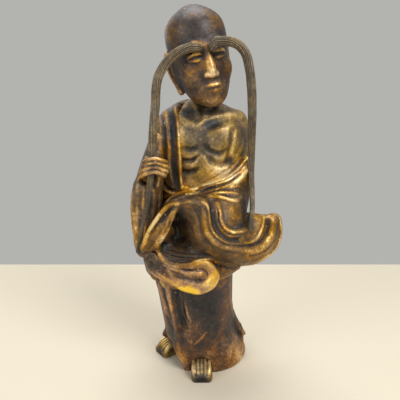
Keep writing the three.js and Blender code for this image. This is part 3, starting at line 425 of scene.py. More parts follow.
    def cast(self, kind):
        """Meshes the field, down to the floor, as the visible piece that stands for the CAD node,
        with its wear and gilding as marks for the finish of that kind. The gilding mark also holds the
        painted highlight and shade of some washes, and the broad forms' mark a painted highlight on broad
        folds."""
        sculpt = bpy.context.scene.monk_sculpt
        grid = openvdb.FloatGrid(OUTSIDE)
        height = ((np.arange(self.field.shape[2]) + self.first[2]) * self.step).astype(np.float32)
        shape = np.maximum(self.field - sculpt.seam / MM, -height)
        grid.copyFromArray(shape, ijk=tuple(int(i) for i in self.first))
        grid.transform = openvdb.createLinearTransform(self.step)
        points, quads = grid.convertToQuads(isovalue=0.0)
        if not len(quads):
            raise RuntimeError(self.node + ": nothing was left to mesh")
        marks = {"gilt": self.sample(self.gilt, points)}
        whole = self.field if self.beside is None else np.minimum(self.field, self.beside)
        for name, size in (("relief", sculpt.relief_width), ("broad_wear_and_highlight", sculpt.broad_wear_and_highlight_width)):
            width = size / MM
            rise = blurred(whole, width / self.step) - whole
            marks[name] = np.clip(self.sample(rise, points) / width, HOLLOW, RIDGE)
        add_piece(self.node, points, quads[:, ::-1], marks, kind)


def add_piece(node, points, faces, marks, kind):
    """A smooth mesh in the row frame that replaces a CAD node and rides on the figure's body."""
    faces = np.asarray(faces)
    mesh = bpy.data.meshes.new(node + "_cast")
    mesh.vertices.add(len(points))
    mesh.vertices.foreach_set("co", ((points + SHIFT) * MM).astype(np.float32).ravel())
    mesh.loops.add(faces.size)
    mesh.loops.foreach_set("vertex_index", faces.astype(np.int32).ravel())
    mesh.polygons.add(len(faces))
    sides = faces.shape[1]
    mesh.polygons.foreach_set("loop_start", np.arange(0, faces.size, sides, dtype=np.int32))
    mesh.update(calc_edges=True)
    mesh.shade_smooth()
    for name, values in marks.items():
        layer = mesh.attributes.new(name, "FLOAT", "POINT")
        layer.data.foreach_set("value", np.asarray(values, dtype=np.float32))
    mesh.validate()
    piece = bpy.data.objects.new(node + "_cast", mesh)
    bpy.context.scene.collection.objects.link(piece)
    mesh.materials.append(finish(kind))
    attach(piece, BODY)
    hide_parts(node)
    return piece


# Finishes


def linear(color):
    """Linear RGBA of an sRGB hex colour."""
    rgb = [int(color[i:i + 2], 16) / 255 for i in (1, 3, 5)]
    return [c / 12.92 if c <= 0.04045 else ((c + 0.055) / 1.055) ** 2.4 for c in rgb] + [1.0]


def add_node(tree, kind, settings=None, **inputs):
    """A node with its settings; an input is a value or the output that feeds it, and is named, or
    numbered as in i0 where names repeat."""
    node = tree.nodes.new(kind)
    for key, value in (settings or {}).items():
        setattr(node, key, value)
    for key, value in inputs.items():
        key = key.replace("_", " ")
        socket = node.inputs[int(key[1:])] if key[1:].isdigit() else node.inputs[key]
        if isinstance(value, bpy.types.NodeSocket):
            tree.links.new(value, socket)
        else:
            socket.default_value = value
    return node


# Widths of the patina's patterns, in millimetres. The sand's grain and the chips are under half a
# millimetre on such a casting, too fine to show in the render, so they are drawn this coarse.
CLOUD, STRETCH, MOTTLE, CHIP, GRAIN = 30, 21, 9, 5, 2.6
PIT_DEPTH = 0.6


def bronze(name, shades, bias, gilding, rub, brushed):
    """Cast bronze under a dark lacquer-like patina that is worn to gold where hands and cloth rub.
    The eye sees near-black hollows, brown flats with a soft grey sheen, and warm metal on ridges.
    shades run from the deepest hollow to the brightest ridge, bias says how worn the whole is,
    gilding weighs the painted gilding and washes, some of them painted highlight and shade, rub the
    wear that follows the relief and the broad forms, whose mark is also a painted highlight on broad
    folds, and brushed the streaks."""
    material = bpy.data.materials.new(name)
    material.use_nodes = True
    tree = material.node_tree
    tree.nodes.clear()
    place = add_node(tree, "ShaderNodeTexCoord").outputs["Object"]
    gilt, relief, broad_wear_and_highlight = (
        add_node(tree, "ShaderNodeAttribute", {"attribute_name": mark}).outputs["Fac"]
        for mark in ("gilt", "relief", "broad_wear_and_highlight"))
    cloud, mottle, grain = (
        add_node(tree, "ShaderNodeTexNoise", None, Vector=place, Scale=1 / (size * MM), Detail=detail,
                 Roughness=0.65).outputs["Fac"]
        for size, detail in ((CLOUD, 2.0), (MOTTLE, 4.0), (GRAIN, 3.0)))

    # Brushed lacquer: streaks that run along the folds, because they follow the relief
    contour = add_node(tree, "ShaderNodeCombineXYZ", None, X=relief, Y=broad_wear_and_highlight, Z=cloud).outputs[0]
    streak = add_node(tree, "ShaderNodeTexNoise", None, Vector=contour, Scale=16.0, Detail=3.0,
                      Roughness=0.6).outputs["Fac"]

    # How worn each place is, from 0 to 1, as a sum of weighed sources. The broad forms add a painted
    # highlight on broad folds, and some washes in the gilt mark paint highlight and shade.
    weights = ((gilt, gilding), (relief, rub), (broad_wear_and_highlight, 0.9 * rub))
    noises = ((cloud, 0.75), (mottle, 0.5), (grain, 0.6), (streak, brushed))
    worn = bias - 0.5 * sum(weight for _, weight in noises)
    for source, weight in weights + noises:
        worn = add_node(tree, "ShaderNodeMath", {"operation": "MULTIPLY_ADD"}, i0=source, i1=weight,
                        i2=worn).outputs[0]
    ramp = add_node(tree, "ShaderNodeValToRGB", None, Fac=worn)
    stops = ramp.color_ramp.elements
    while len(stops) < len(shades):
        stops.new(0.5)
    for i, (stop, shade) in enumerate(zip(stops, shades)):
        stop.position = i / (len(shades) - 1)
        stop.color = shade

    # Tiny chips through the patina, in patches
    cells = add_node(tree, "ShaderNodeTexVoronoi", None, Vector=place, Scale=1 / (CHIP * MM))
    chip = add_node(tree, "ShaderNodeMapRange", None, Value=cells.outputs["Distance"], From_Min=0.2,
                    From_Max=0.1).outputs[0]
    patch = add_node(tree, "ShaderNodeMapRange", None, Value=mottle, From_Min=0.54, From_Max=0.66,
                     To_Max=0.8).outputs[0]
    chip = add_node(tree, "ShaderNodeMath", {"operation": "MULTIPLY"}, i0=chip, i1=patch).outputs[0]
    color = add_node(tree, "ShaderNodeMix", {"data_type": "RGBA"}, i0=chip, i6=ramp.outputs[0],
                     i7=shades[-1]).outputs[2]

    # Greyer and more golden stretches
    stretch = add_node(tree, "ShaderNodeTexNoise", None, Vector=place, Scale=1 / (STRETCH * MM),
                       Detail=3.0)
    warmth = add_node(tree, "ShaderNodeMapRange", None, Value=stretch.outputs["Fac"], From_Min=0.35,
                      From_Max=0.65, To_Min=0.82, To_Max=1.12).outputs[0]
    color = add_node(tree, "ShaderNodeHueSaturation", None, Saturation=warmth, Color=color).outputs[0]

    # Bare metal where it is worn and where the painted highlight brightens it, under lacquer elsewhere;
    # the lacquer is the smoother of the two
    metal = add_node(tree, "ShaderNodeMapRange", None, Value=worn, From_Min=0.35, From_Max=0.8,
                     To_Min=0.15, To_Max=0.75).outputs[0]
    rough = add_node(tree, "ShaderNodeMapRange", None, Value=mottle, From_Min=0.3, From_Max=0.7,
                     To_Min=0.4, To_Max=0.56).outputs[0]
    pits = add_node(tree, "ShaderNodeMath", {"operation": "ADD"}, i0=grain, i1=mottle).outputs[0]
    bump = add_node(tree, "ShaderNodeBump", None, Height=pits, Strength=0.5, Distance=PIT_DEPTH * MM)
    shader = add_node(tree, "ShaderNodeBsdfPrincipled", None, Base_Color=color, Metallic=metal,
                      Roughness=rough, Normal=bump.outputs[0])
    add_node(tree, "ShaderNodeOutputMaterial", None, Surface=shader.outputs[0])
    return material


# Each finish: its name, its deepest, dark, middle and brightest shades, and its bias, gilding, rub and
# brushed. The patina and the worn metal between the shades are settings.
FINISHES = {
    "cloth": ("bronze, dark patina with worn gilding",
              ("#0e0b0a", "#281e16", "#7c5a2a", "#ebcf90"), 0.4, 0.19, 0.75, 0.6),
    "skirt": ("bronze, blue-black patina worn to copper",
              ("#09090b", "#191719", "#65462d", "#dcbc8a"), 0.31, 0.25, 0.8, 0.4),
    "skin": ("bronze, brown patina rubbed by hands",
             ("#0d0b0a", "#2a221b", "#846b3e", "#ecd29a"), 0.45, 0.3, 0.7, 0.2),
    "head": ("bronze, purple-brown patina with worn gilding",
             ("#0d0a0b", "#261d1c", "#7c5a2d", "#f2d8a2"), 0.36, 0.35, 0.8, 0.25),
    "gilt": ("bronze, worn fire gilding",
             ("#0f0b09", "#2c2119", "#ad7f4b", "#fdd334"), 0.48, 0.4, 0.6, 0.4),
    "hair": ("bronze, grey-brown patina",
             ("#100e0c", "#292219", "#6f604a", "#c4b08a"), 0.48, 0.4, 1.0, 0.2),
}


def finish(kind):
    """The finish of a kind of casting, made once."""
    name, shades, *wear = FINISHES[kind]
    deep, dark, middle, bright = (linear(shade) for shade in shades)
    colors = bpy.context.scene.monk_colors
    patina, worn = ((*getattr(colors, kind + part), 1.0) for part in ("_patina", "_worn"))
    shades = (deep, dark, patina, middle, worn, bright)
    return bpy.data.materials.get(name) or bronze(name, shades, *wear)


# Settings


def swatch(name, description, color):
    """A colour setting."""
    return FloatVectorProperty(name=name, description=description, subtype="COLOR", size=3,
                               default=linear(color)[:3], min=0.0, max=1.0)


def millimetres(name, description, default, low, high):
    """A length setting, its numbers here in millimetres."""
    return FloatProperty(name=name, description=description, default=default * MM, min=low * MM,
                         max=high * MM, unit="LENGTH", precision=5)


class MonkColors(bpy.types.PropertyGroup):
    """Colours of the finishes"""
    cloth_patina: swatch("Cloth patina", "Patina of the robe and its sleeves", "#4a361f")
    cloth_worn: swatch("Cloth, worn", "Worn metal of the robe and its sleeves", "#b48742")
    skirt_patina: swatch("Skirt patina", "Patina of the skirt", "#342b27")
    skirt_worn: swatch("Skirt, worn", "Worn metal of the skirt", "#a67b50")
    skin_patina: swatch("Skin patina", "Patina of the chest and feet", "#51432f")
    skin_worn: swatch("Skin, worn", "Worn metal of the chest and feet", "#c09d5a")
    head_patina: swatch("Head patina", "Patina of the head and fist", "#43332b")
    head_worn: swatch("Head, worn", "Worn metal of the head and fist", "#c59445")
    gilt_patina: swatch("Hem patina", "Patina of the hem's front fold", "#684a2f")
    gilt_worn: swatch("Hem gilding", "Gilding of the hem's front fold", "#d6a64c")
    hair_patina: swatch("Brow patina", "Patina of the brows", "#4b4033")
    hair_worn: swatch("Brow, worn", "Worn metal of the brows", "#9b8a6a")


class MonkSculpt(bpy.types.PropertyGroup):
    """Sizes of the sculpting"""
    voxel: millimetres("Voxel", "Size of the sculpting grid", 0.8, 0.3, 3.0)
    seam: millimetres("Seam", "How far each casting is let out to close the seams", 0.45, 0.0, 1.0)
    relief_width: millimetres("Relief width", "Width of the ridges that wear", 1.6, 0.8, 6.0)
    # The broad forms' mark is wear, and a painted highlight on broad folds
    broad_wear_and_highlight_width: millimetres("Swell width", "Width of the broad forms that wear", 5.0, 2.0, 12.0)
    brow_diameter: millimetres("Brow", "Diameter of a brow at its arch", 7.8, 4.0, 12.0)


class MonkStage(bpy.types.PropertyGroup):
    """Floor, background and light"""
    floor: swatch("Floor", "Colour of the floor", "#e0d6c1")
    wall: swatch("Background", "Colour behind the floor", "#b3b3b0")
    key: FloatProperty(
        name="Key light", description="Power of the main lamp", default=17.5, min=0.0, unit="POWER")
    ambient: FloatProperty(
        name="Ambient", description="Share of the background's light that falls on the figure",
        default=0.48, min=0.0, max=1.0, subtype="FACTOR")


# Operators


class MONK_OT_skirt(bpy.types.Operator):
    """Skirt with close pleats on its right, a smooth left side and a trailing hem"""
    bl_idname = "monk.skirt"
    bl_label = "Skirt"

    def execute(self, context):
        clay = Clay("skirt", 1.6)
        # Trailing corner on the left, with its turned-up edge, and the hem's corner on the right
        clay.roll([(37, 4, 52), (42, 4, 40), (46, 5, 28), (48, 7, 18), (48, 10, 8)],
                  (2, 3, 3.8, 3.4, 2), 4, 0.3)
        clay.roll([(38, -1, 48), (42, 0, 41), (47, 1, 33), (51, 2, 26.5)],
                  (1.5, 2.4, 2.6, 2.0), 2.5, 0.4)
        clay.roll([(-38, 2, 34), (-41.5, 4, 24), (-38, 6, 17)], (1.5, 2.4, 1.5), 2)
        # Broad pleats on the right, and the fold that falls between the feet
        clay.roll([(-46, 5, 112), (-43, 5, 92), (-40, 6, 80), (-38, 7, 66), (-36, 8, 50)],
                  (4, 5, 5, 4, 2), 9)
        clay.roll([(-40, -17, 112), (-37, -20, 92), (-33, -23, 76), (-28, -26, 58)], (4, 5, 4, 1.5), 9)
        clay.roll([(-32, -26, 112), (-29, -28, 92), (-26, -29, 76), (-22, -31, 56)], (4, 5, 4, 1.5), 9)
        clay.roll(seen(-35, [(-24, 47, -16), (-20.5, 34, -22), (-17, 20, -24), (-14, 13, -25)]),
                  (5, 8, 8.5, 6), 6, 0.25)
        # The hem is lifted over both feet
        clay.ball((-39, -15, 4), (22, 27, 22), 5, 0, True)
        clay.ball((2, -44, 11), (12.5, 15, 11), 4, 0, True)
        # Pleats on the right, a scratch over the left foot, a fold on the left
        clay.lines(-35, [
            (((-45, 112), (-38.5, 91), (-34, 71), (-29, 52)), 7, 1.0, 0.3),
            (((-34, 112), (-30.5, 86), (-27, 68), (-24, 47), (-23.5, 34)), 5.5, 1.1, 0.4),
            (((-20.5, 98), (-18.5, 78), (-15.5, 68), (-11.5, 59)), 3.6, 1.3, 0.5),
            (((-16.5, 90), (-13.5, 74), (-10, 63)), 2.6, 1.1, 0.55),
            (((-39, 112), (-34.5, 88), (-30.5, 68), (-26.5, 48)), 3.4, -0.6, -0.2),
            (((-29, 112), (-27.5, 86), (-25, 71), (-22, 54)), 3.6, -0.7, -0.3),
            (((-24, 110), (-23, 83), (-20.5, 69), (-15, 56)), 4, -0.7, -0.4),
            (((-17.5, 88), (-15.5, 74), (-12.5, 64)), 1.8, -0.8, -0.4),
            (((-5.5, 36.5), (0, 42.5), (6, 51)), 1.8, 0.9, 0.9),
            (((29, 112), (30, 91), (34, 71), (40, 56)), 5, 1.0, 0.3),
        ])
        clay.lines(BACK, [
            (((x, 104), (x, 70), (x * 1.12 + 1, 36), (x * 1.28 + 2, 2)), w, r, g)
            for x, w, r, g in (
                (-33, 7, 1.4, 0.3), (-19.4, 8, 1.6, 0.3), (-2, 8, 1.6, 0.3), (15.4, 8, 1.6, 0.3),
                (29, 7, 1.4, 0.3),
                (-26.5, 4, -1.6, -0.4), (-11, 4, -1.6, -0.4), (7, 4, -1.6, -0.4), (22.5, 4, -1.6, -0.4))
        ])
        # Copper at the hem and on the pleats; blue-black in the middle, partly patina and partly painted
        # shadow under the hem's front fold
        clay.wash((46, -20, 14), (20, 40, 24), 0.9)
        clay.wash((-20, -30, 30), (15, 26, 30), 0.6)
        clay.wash((-36, -14, 84), (18, 40, 50), 0.9)
        clay.wash((9, -38, 82), (26, 36, 46), -1.3)
        clay.cast("skirt")
        return {"FINISHED"}


class MONK_OT_hip_robe(bpy.types.Operator):
    """Robe round the hips, with folds that hang to its hem"""
    bl_idname = "monk.hip_robe"
    bl_label = "Hip robe"

    def execute(self, context):
        clay = Clay("hip_robe", 2.2)
        clay.lines(-45, [
            (((-54, 150), (-47, 136), (-36, 126), (-26, 120)), 8, 1.2, 0.2),
            (((-51, 134), (-46, 116), (-42, 98)), 7, 1.2, 0.1),
            (((-40, 122), (-36, 110), (-33, 98)), 5, 1.4, 0.3),
            (((-46, 130), (-41, 114), (-38, 98)), 3.2, -1.2, -0.3),
        ])
        # Hollow behind the mouth of the left sleeve, painted dark as shade inside the mouth, and the hem's
        # lifted right corner
        clay.ball((-19, -56, 164), (19, 30, 22), 3, -0.8, True)
        clay.ball((-54, -8, 84), (22, 54, 22), 6, 0, True)
        # Cloth bunched under the left sleeve, and the hem's left corner
        clay.roll(seen(-55, [(16, 143, -46), (27, 139, -46), (37, 136, -42)]), (5, 5, 2), 3)
        clay.roll(seen(-55, [(22, 133, -46), (30, 132, -44), (36, 135, -42)]), (3, 3, 1.5), 2)
        clay.roll([(26, -28, 119), (35, -18, 117), (41.5, -7, 114)], (3, 4, 2.6), 3, -0.8)
        # Painted shadow under the left sleeve's lower edge
        clay.wash((27, -44, 134), (20, 26, 14), -1.4)
        clay.lines(BACK, [
            (((x + 1, 190), (x, 160), (x, 124), (x * 0.96, 113 + 0.25 * x)), w, r, g)
            for x, w, r, g in (
                (-51, 8, 1.6, 0.3), (-32.4, 8, 1.8, 0.3), (-9, 8, 1.8, 0.3), (14.4, 8, 1.8, 0.3),
                (33, 8, 1.6, 0.3),
                (-42, 4, -1.8, -0.4), (-21, 4, -1.8, -0.4), (3, 4, -1.8, -0.4), (24, 4, -1.8, -0.4))
        ])
        clay.cast("cloth")
        return {"FINISHED"}


class MONK_OT_torso(bpy.types.Operator):
    """Lean bare chest with ribs, collarbones and the left upper arm"""
    bl_idname = "monk.torso"
    bl_label = "Torso"

    def execute(self, context):
        clay = Clay("torso", 0.0)
        # Ribcage and base of the neck, then the upper arm and the breasts
        clay.ball((-1, 2, 236), (37, 21, 50), 2)
        clay.ball((1, 6, 286), (15, 13, 8), 8)
        clay.field = blurred(clay.field, 3.2 / clay.step)
        clay.roll([(37, 1, 271), (41, -2, 258), (43, -4, 246), (40, -9, 230), (37, -14, 212)],
                  (9, 10, 10, 10, 8), 7)
        clay.ball((16, -14, 255), (20, 12, 15), 12)
        clay.ball((-9, -13.5, 255), (17, 12, 15), 12)
        clay.lines(-30, [
            # Collarbones, cords of the neck and the hollows between them
            (((-21, 275), (-14, 271), (-7, 268), (-1, 266)), 6, 1.4, 0.2),
            (((1, 267), (9.5, 272.5), (19, 275.5), (30, 277), (38, 276)), 6.5, 1.6, 0.3),
            (((-6, 290), (-3, 280), (-1, 269)), 4.5, 1.5, 0.0),
            (((13, 291), (8, 281), (2, 270)), 5, 1.9, 0.15),
            (((-17, 281), (-9, 279)), 8, -2.2, -0.2),
            (((5, 279), (14, 284)), 6, -1.8, -0.2),
            (((4, 266.5), (13, 269.6), (24, 271.5)), 9, -1.5, -0.2),
            # Breastbone, edges of the breasts and ribs
            (((2, 264), (2, 252), (1, 242)), 9, -0.9, -0.1),
            (((6, 249), (9.5, 243.5), (18, 240.5), (27, 244.5)), 5, -1.2, -0.35),
            (((-15, 245.5), (-9, 244), (-4, 246)), 5, -1.0, -0.3),
            (((-15, 239.5), (-9, 239.5), (-4, 241)), 5, 0.8, 0.15),
            (((-16, 234.5), (-8, 233.5), (-2.5, 237.5)), 4.5, -1.3, -0.3),
            (((-15, 229.5), (-9, 229), (-4, 231.5)), 5, 0.8, 0.15),
            (((-16, 223.5), (-9, 222.5), (-2.5, 226.5)), 4.5, -1.3, -0.3),
            (((-8, 229), (-3, 234), (1.5, 238.5), (6, 234), (10.5, 229)), 3, 1.0, 0.3),
            (((8, 236), (13, 231), (21, 229.5), (28, 233)), 5, -0.9, -0.3),
            # Armpit and arm
            (((31, 264), (30, 252), (28, 240), (26, 230)), 6, -1.1, -0.2),
            (((34, 262), (32, 250), (29, 238)), 3, 0.6, 0.6),
            (((41, 256), (38.5, 244), (33, 232)), 3.4, 0.6, 0.5),
        ])
        clay.lines(BACK, [
            (((6, 276), (6, 250), (5, 224)), 5, -1.6, -0.3),
            (((26, 274), (22, 260), (24, 246)), 8, 1.8, 0.2),
        ])
        # Dark hollows at the neck, a rubbed breast, and a lighter left shoulder, side and belly, rubbed and
        # partly painted highlight on the side the light falls on
        clay.wash((13, -28, 269), (11, 12, 7), -1.3)
        clay.wash((-14, -20, 281), (11, 14, 8), -1.5)
        clay.wash((6, -10, 290), (24, 30, 12), -0.6)
        clay.wash((28, -26, 268), (18, 20, 14), 0.9)
        clay.wash((34, -24, 246), (12, 20, 20), 0.7)
        clay.wash((20, -30, 224), (24, 20, 12), 1.0)
        clay.wash((-18, -30, 262), (8, 16, 22), 0.8)
        clay.cast("skin")
        return {"FINISHED"}


class MONK_OT_shoulder_robe(bpy.types.Operator):
    """Robe over the right shoulder, its banded lapel and its rolled neckline"""
    bl_idname = "monk.shoulder_robe"
    bl_label = "Shoulder robe"

    def execute(self, context):
        clay = Clay("shoulder_robe", 1.5)
        # Room for the neck, the lapel's band and edge, and three rolls of the neckline
        clay.ball((-13, -2, 296.5), (16, 18, 10), 4, 0, True)
        clay.roll(seen(-30, [(-27.5, 281, -1), (-26, 272, -12), (-24.6, 249, -21), (-23.6, 229, -21.2),
                             (-22, 211, -20.5)]), (1.6, 2.6, 2.8, 2.8, 2.6), 3)
        clay.roll(seen(-30, [(-25, 283, -3), (-22.6, 272, -14.4), (-21, 249, -23), (-20, 229, -23.2),
                             (-19, 211, -22), (-13, 203.5, -23)]), (1.4, 2.2, 2.2, 2.2, 2.2, 2.2), 3)
        clay.roll(seen(-30, [(4, 209, -31), (14.5, 212.5, -31.5), (20, 214.5, -30.5), (27.4, 218, -27.5),
                             (33, 221.5, -25.5), (37.8, 226, -24), (42, 231, -21.5), (46.5, 236.5, -16.5),
                             (49, 240.5, -10)]), (2.4, 2.4, 2.4, 2.4, 2.4, 2.4, 2.4, 2.2, 1.6), 3)
        clay.roll(seen(-30, [(4, 205.5, -33), (12, 208.5, -34), (25, 213, -31.5), (36, 219.5, -28),
                             (46, 231, -19.5), (49, 236.5, -11)]), (3, 3.4, 3.6, 3.6, 3.2, 2), 3)
        clay.roll(seen(-30, [(2, 202, -37), (12, 204.5, -39), (24, 208.5, -37.5), (36, 215.5, -32),
                             (45, 226, -24), (49, 232.5, -13)]), (4, 4.4, 4.4, 4.4, 4, 2.4), 3)
        clay.lines(-30, [
            # Lapel
            (((-25, 287), (-22.5, 272), (-20.5, 249), (-19.5, 229), (-18.5, 211), (-12, 203)),
             2.8, 1.4, 0.9),
            (((-27.5, 285), (-26, 264), (-25.3, 243), (-24.5, 224), (-22, 207)), 6, -0.9, -1.7),
            (((-32.5, 282), (-30.5, 265), (-29.5, 246), (-29.5, 229), (-27.5, 214)), 2.2, 1.0, 0.7),
            (((-37, 279), (-34.5, 264), (-33.5, 246), (-33, 230)), 3, -0.8, -0.3),
            (((-39, 276), (-37, 262), (-36.5, 244)), 4.5, 1.2, 0.1),
            # Neckline, and the hem of the robe under the fist
            (((-18, 207), (-13, 204), (-7, 204), (1, 208.5), (7, 210), (14.5, 212.5), (27.4, 217.5),
              (37.8, 225.5), (46.5, 236)), 3, 1.0, 2.4),
            (((4, 205.5), (12, 209.5), (25, 213.5), (36, 220.5), (46.5, 231.5)), 2.4, 1.0, 1.6),
            (((6, 208), (14, 211), (26, 215.5), (37, 223), (46, 233)), 1.6, -0.8, -0.3),
            (((-2, 201.5), (9, 206.3), (19, 209.3), (29, 212.5), (38, 219)), 3.2, -1.8, -1.2),
            (((0, 200), (12, 203.5), (24, 206.5), (36, 213), (45, 224)), 4, 1.6, 0.4),
            (((-39.5, 214), (-35, 206), (-27, 201.5), (-16, 199.5), (-6, 200), (2, 203.5)), 2.8, 1.6, 0.8),
            (((-36, 213), (-31, 206.5), (-24, 204)), 3.6, -2.0, -0.6),
        ])
        clay.lines(BACK, [
            (((-8, 286), (8, 272), (24, 256), (40, 236)), 5, 2.2, 0.7),
            (((-20, 286), (-4, 268), (16, 248), (40, 224)), 6, 2.2, 0.3),
            (((-30, 280), (-16, 260), (6, 236), (34, 212)), 7, 2.4, 0.3),
            (((-38, 268), (-26, 246), (-6, 222), (16, 206)), 7, 2.4, 0.3),
            (((-43, 250), (-36, 230), (-22, 210)), 7, 2.2, 0.3),
            (((-25, 284), (-10, 264), (12, 241), (36, 219)), 3.5, -2.0, -0.4),
            (((-35, 274), (-21, 252), (0, 229), (24, 209)), 3.5, -2.0, -0.4),
            (((-41, 258), (-31, 238), (-14, 216)), 3.5, -2.0, -0.4),
        ])
        clay.wash((-34, -10, 270), (22, 40, 34), -0.4)
        clay.wash((-20, -4, 289), (16, 24, 9), -1.2)
        clay.wash((22, -30, 216), (40, 30, 16), 2.2)
        clay.cast("cloth")
        return {"FINISHED"}


HEAD_Z = 333.0
HEAD_MIDDLE = Vector((-1.0, -4.0, HEAD_Z))
HEAD_TURN = Euler((math.radians(4), math.radians(-12), math.radians(15)), "XYZ").to_matrix()


def on_head(x, y, z):
    """A point of the head's own frame, in the figure's axes."""
    return np.array(HEAD_MIDDLE + HEAD_TURN @ Vector((x, y, z)))


class MONK_OT_head(bpy.types.Operator):
    """Bald head with a calm, plain face and long ears; eyes half way up, nose and lips in thirds"""
    bl_idname = "monk.head"
    bl_label = "Head"

    def execute(self, context):
        clay = Clay("head", 4.0)
        turn = np.array(HEAD_TURN)

        def roll(points, radii, blend=2.0, gilt=0.0, carve=False):
            clay.roll([on_head(*p) for p in points], radii, blend, gilt, carve)

        def ball(middle, radii, blend=2.0, gilt=0.0, carve=False):
            clay.ball(on_head(*middle), radii, blend, gilt, carve, turn)

        # Jaw, then cheeks, eyes, brow ridges and ears on both sides
        ball((0, -24, -34), (13, 7, 12), 6)
        for side in (-1, 1):
            ball((side * 15, -18, -14), (9, 8, 10), 7)
            # Eye: its hollow, the ball, the lids and their creases
            ball((side * 11, -34.5, 1.5), (9, 7, 6.2), 4, -0.2, True)
            ball((side * 11, -22.6, 0.4), (6.8, 6.6, 5.2), 1.2)
            roll([(side * 4.4, -26.6, 0.2), (side * 7.6, -29.1, 1.7), (side * 11.2, -29.8, 2.2),
                  (side * 15, -28.2, 1.3), (side * 18, -24.4, -0.8)], (0.9, 1.3, 1.4, 1.3, 0.8), 0.6, 0.3)
            roll([(side * 4.8, -27.4, -1), (side * 8, -29.6, -0.2), (side * 11.2, -30.3, 0),
                  (side * 15, -28.6, -0.6), (side * 17.6, -25, -1.6)], 0.55, 0.5, -0.9, True)
            roll([(side * 5, -27, -2.6), (side * 11, -29, -3.8), (side * 17, -25, -2.8)],
                 (0.6, 0.9, 0.6), 0.9, 0.1)
            roll([(side * 5.4, -27.6, 4.6), (side * 11, -28.8, 6), (side * 18, -24.4, 3.8)],
                 0.5, 0.8, -0.5, True)
            # Brow ridge, wing and hole of the nose, ear
            roll([(side * 3, -29.5, 8), (side * 11, -30, 10), (side * 20, -23, 7.5)], (1.8, 2.6, 1.2), 5)
            ball((side * 4.2, -31, -17.4), (2.7, 3.2, 2.5), 1.8, 0.1)
            ball((side * 2.5, -33, -19.4), (1.1, 1.5, 0.8), 0.6, -0.6, True)
            ear = side * 28.5
            roll([(ear - side * 1, -2, 4), (ear + side * 2.2, 2, 7), (ear + side * 2.6, 6, 1),
                  (ear + side * 1.4, 5, -12), (ear - side * 2, 1.5, -22), (ear - side * 4.4, 0, -30)],
                 (1.8, 2, 2, 1.9, 2.4, 2.8), 1.4, 0.2)
            ball((ear, 2.5, -6), (2.2, 5, 11), 1.5)
            roll([(ear + side * 2.4, 1.5, 1), (ear + side * 2.2, 2, -6), (ear + side * 0.4, 0.5, -14)],
                 1.6, 1, -0.6, True)
        # Nose and lips
        roll([(0, -28.4, 5), (0, -31, -4), (0, -33.4, -12.5), (0, -33.2, -16.4)],
             (2.4, 2.5, 3.2, 3.2), 3.5, 0.1)
        roll([(-8.4, -28.2, -28.2), (-3.4, -31.4, -27), (0, -31.6, -27.5), (3.4, -31.4, -27),
              (8.4, -28.2, -28.2)], (0.8, 1.6, 1.5, 1.6, 0.8), 1.6, 0.1)
        roll([(-7, -28.2, -31), (0, -30.8, -32), (7, -28.2, -31)], (0.9, 2, 0.9), 1.6, 0.1)
        roll([(-9, -28.4, -28.6), (-3.4, -32.6, -29), (0, -32.9, -29.3), (3.4, -32.6, -29),
              (9, -28.4, -28.6)], 0.6, 0.7, -0.6, True)
        # Chin
        ball((0, -24.5, -40), (8, 6, 5), 4)
        clay.wash(on_head(0, 6, 30), (44, 44, 34), -0.6)
        clay.wash(on_head(4, -28, -14), (28, 16, 34), 0.5)
        clay.cast("head")
        return {"FINISHED"}


# Middles of the brows: the right one runs through the fist's grip, the left one's tip lies in the
# sleeve's tail
GRIP = (-45.5, -43.0, 232.0)
BROW_FRONT = -40.0
FOREHEAD_Y = -36.5

RIGHT_BROW = [
    (1.8, FOREHEAD_Y + 10, HEAD_Z + 1), (-1.8, FOREHEAD_Y, HEAD_Z + 2.8),
    (-10, FOREHEAD_Y - 2, HEAD_Z + 2.8), (-19.1, BROW_FRONT, HEAD_Z - 0.9),
    (-26.8, BROW_FRONT, HEAD_Z - 6.4), (-33, BROW_FRONT, HEAD_Z - 13.8),
    (-37.5, BROW_FRONT, HEAD_Z - 22.1), (-40, BROW_FRONT, HEAD_Z - 33.1),
    (-41, BROW_FRONT, HEAD_Z - 47.8), (GRIP[0] + 2, GRIP[1], GRIP[2] + 28.2), GRIP,
    (GRIP[0] - 2.6, GRIP[1], GRIP[2] - 22), (GRIP[0] - 7, GRIP[1], GRIP[2] - 45.8),
    (GRIP[0] - 11.5, GRIP[1] + 1, GRIP[2] - 66), (GRIP[0] - 16, GRIP[1] + 1, GRIP[2] - 88),
]
LEFT_BROW = [
    (9.2, FOREHEAD_Y + 10, HEAD_Z + 1.8), (11.2, FOREHEAD_Y, HEAD_Z + 3.7),
    (14.8, FOREHEAD_Y - 2, HEAD_Z + 7.4), (21.9, BROW_FRONT, HEAD_Z + 8.3),
    (29.1, BROW_FRONT, HEAD_Z + 7.4), (35.7, BROW_FRONT, HEAD_Z + 3.7),
    (40.8, BROW_FRONT, HEAD_Z - 2.8), (44.1, BROW_FRONT, HEAD_Z - 13.6),
    (45.9, BROW_FRONT, HEAD_Z - 24.1), (47.2, BROW_FRONT, HEAD_Z - 37.7),
    (48.5, BROW_FRONT + 3.8, HEAD_Z - 58.8), (49.5, BROW_FRONT + 9, HEAD_Z - 84.4),
    (50.2, BROW_FRONT + 12, HEAD_Z - 110), (51.2, BROW_FRONT + 7, HEAD_Z - 133),
    (50.6, BROW_FRONT - 1, HEAD_Z - 147), (49, BROW_FRONT - 6, HEAD_Z - 157),
    (47.4, BROW_FRONT - 9, HEAD_Z - 166),
]


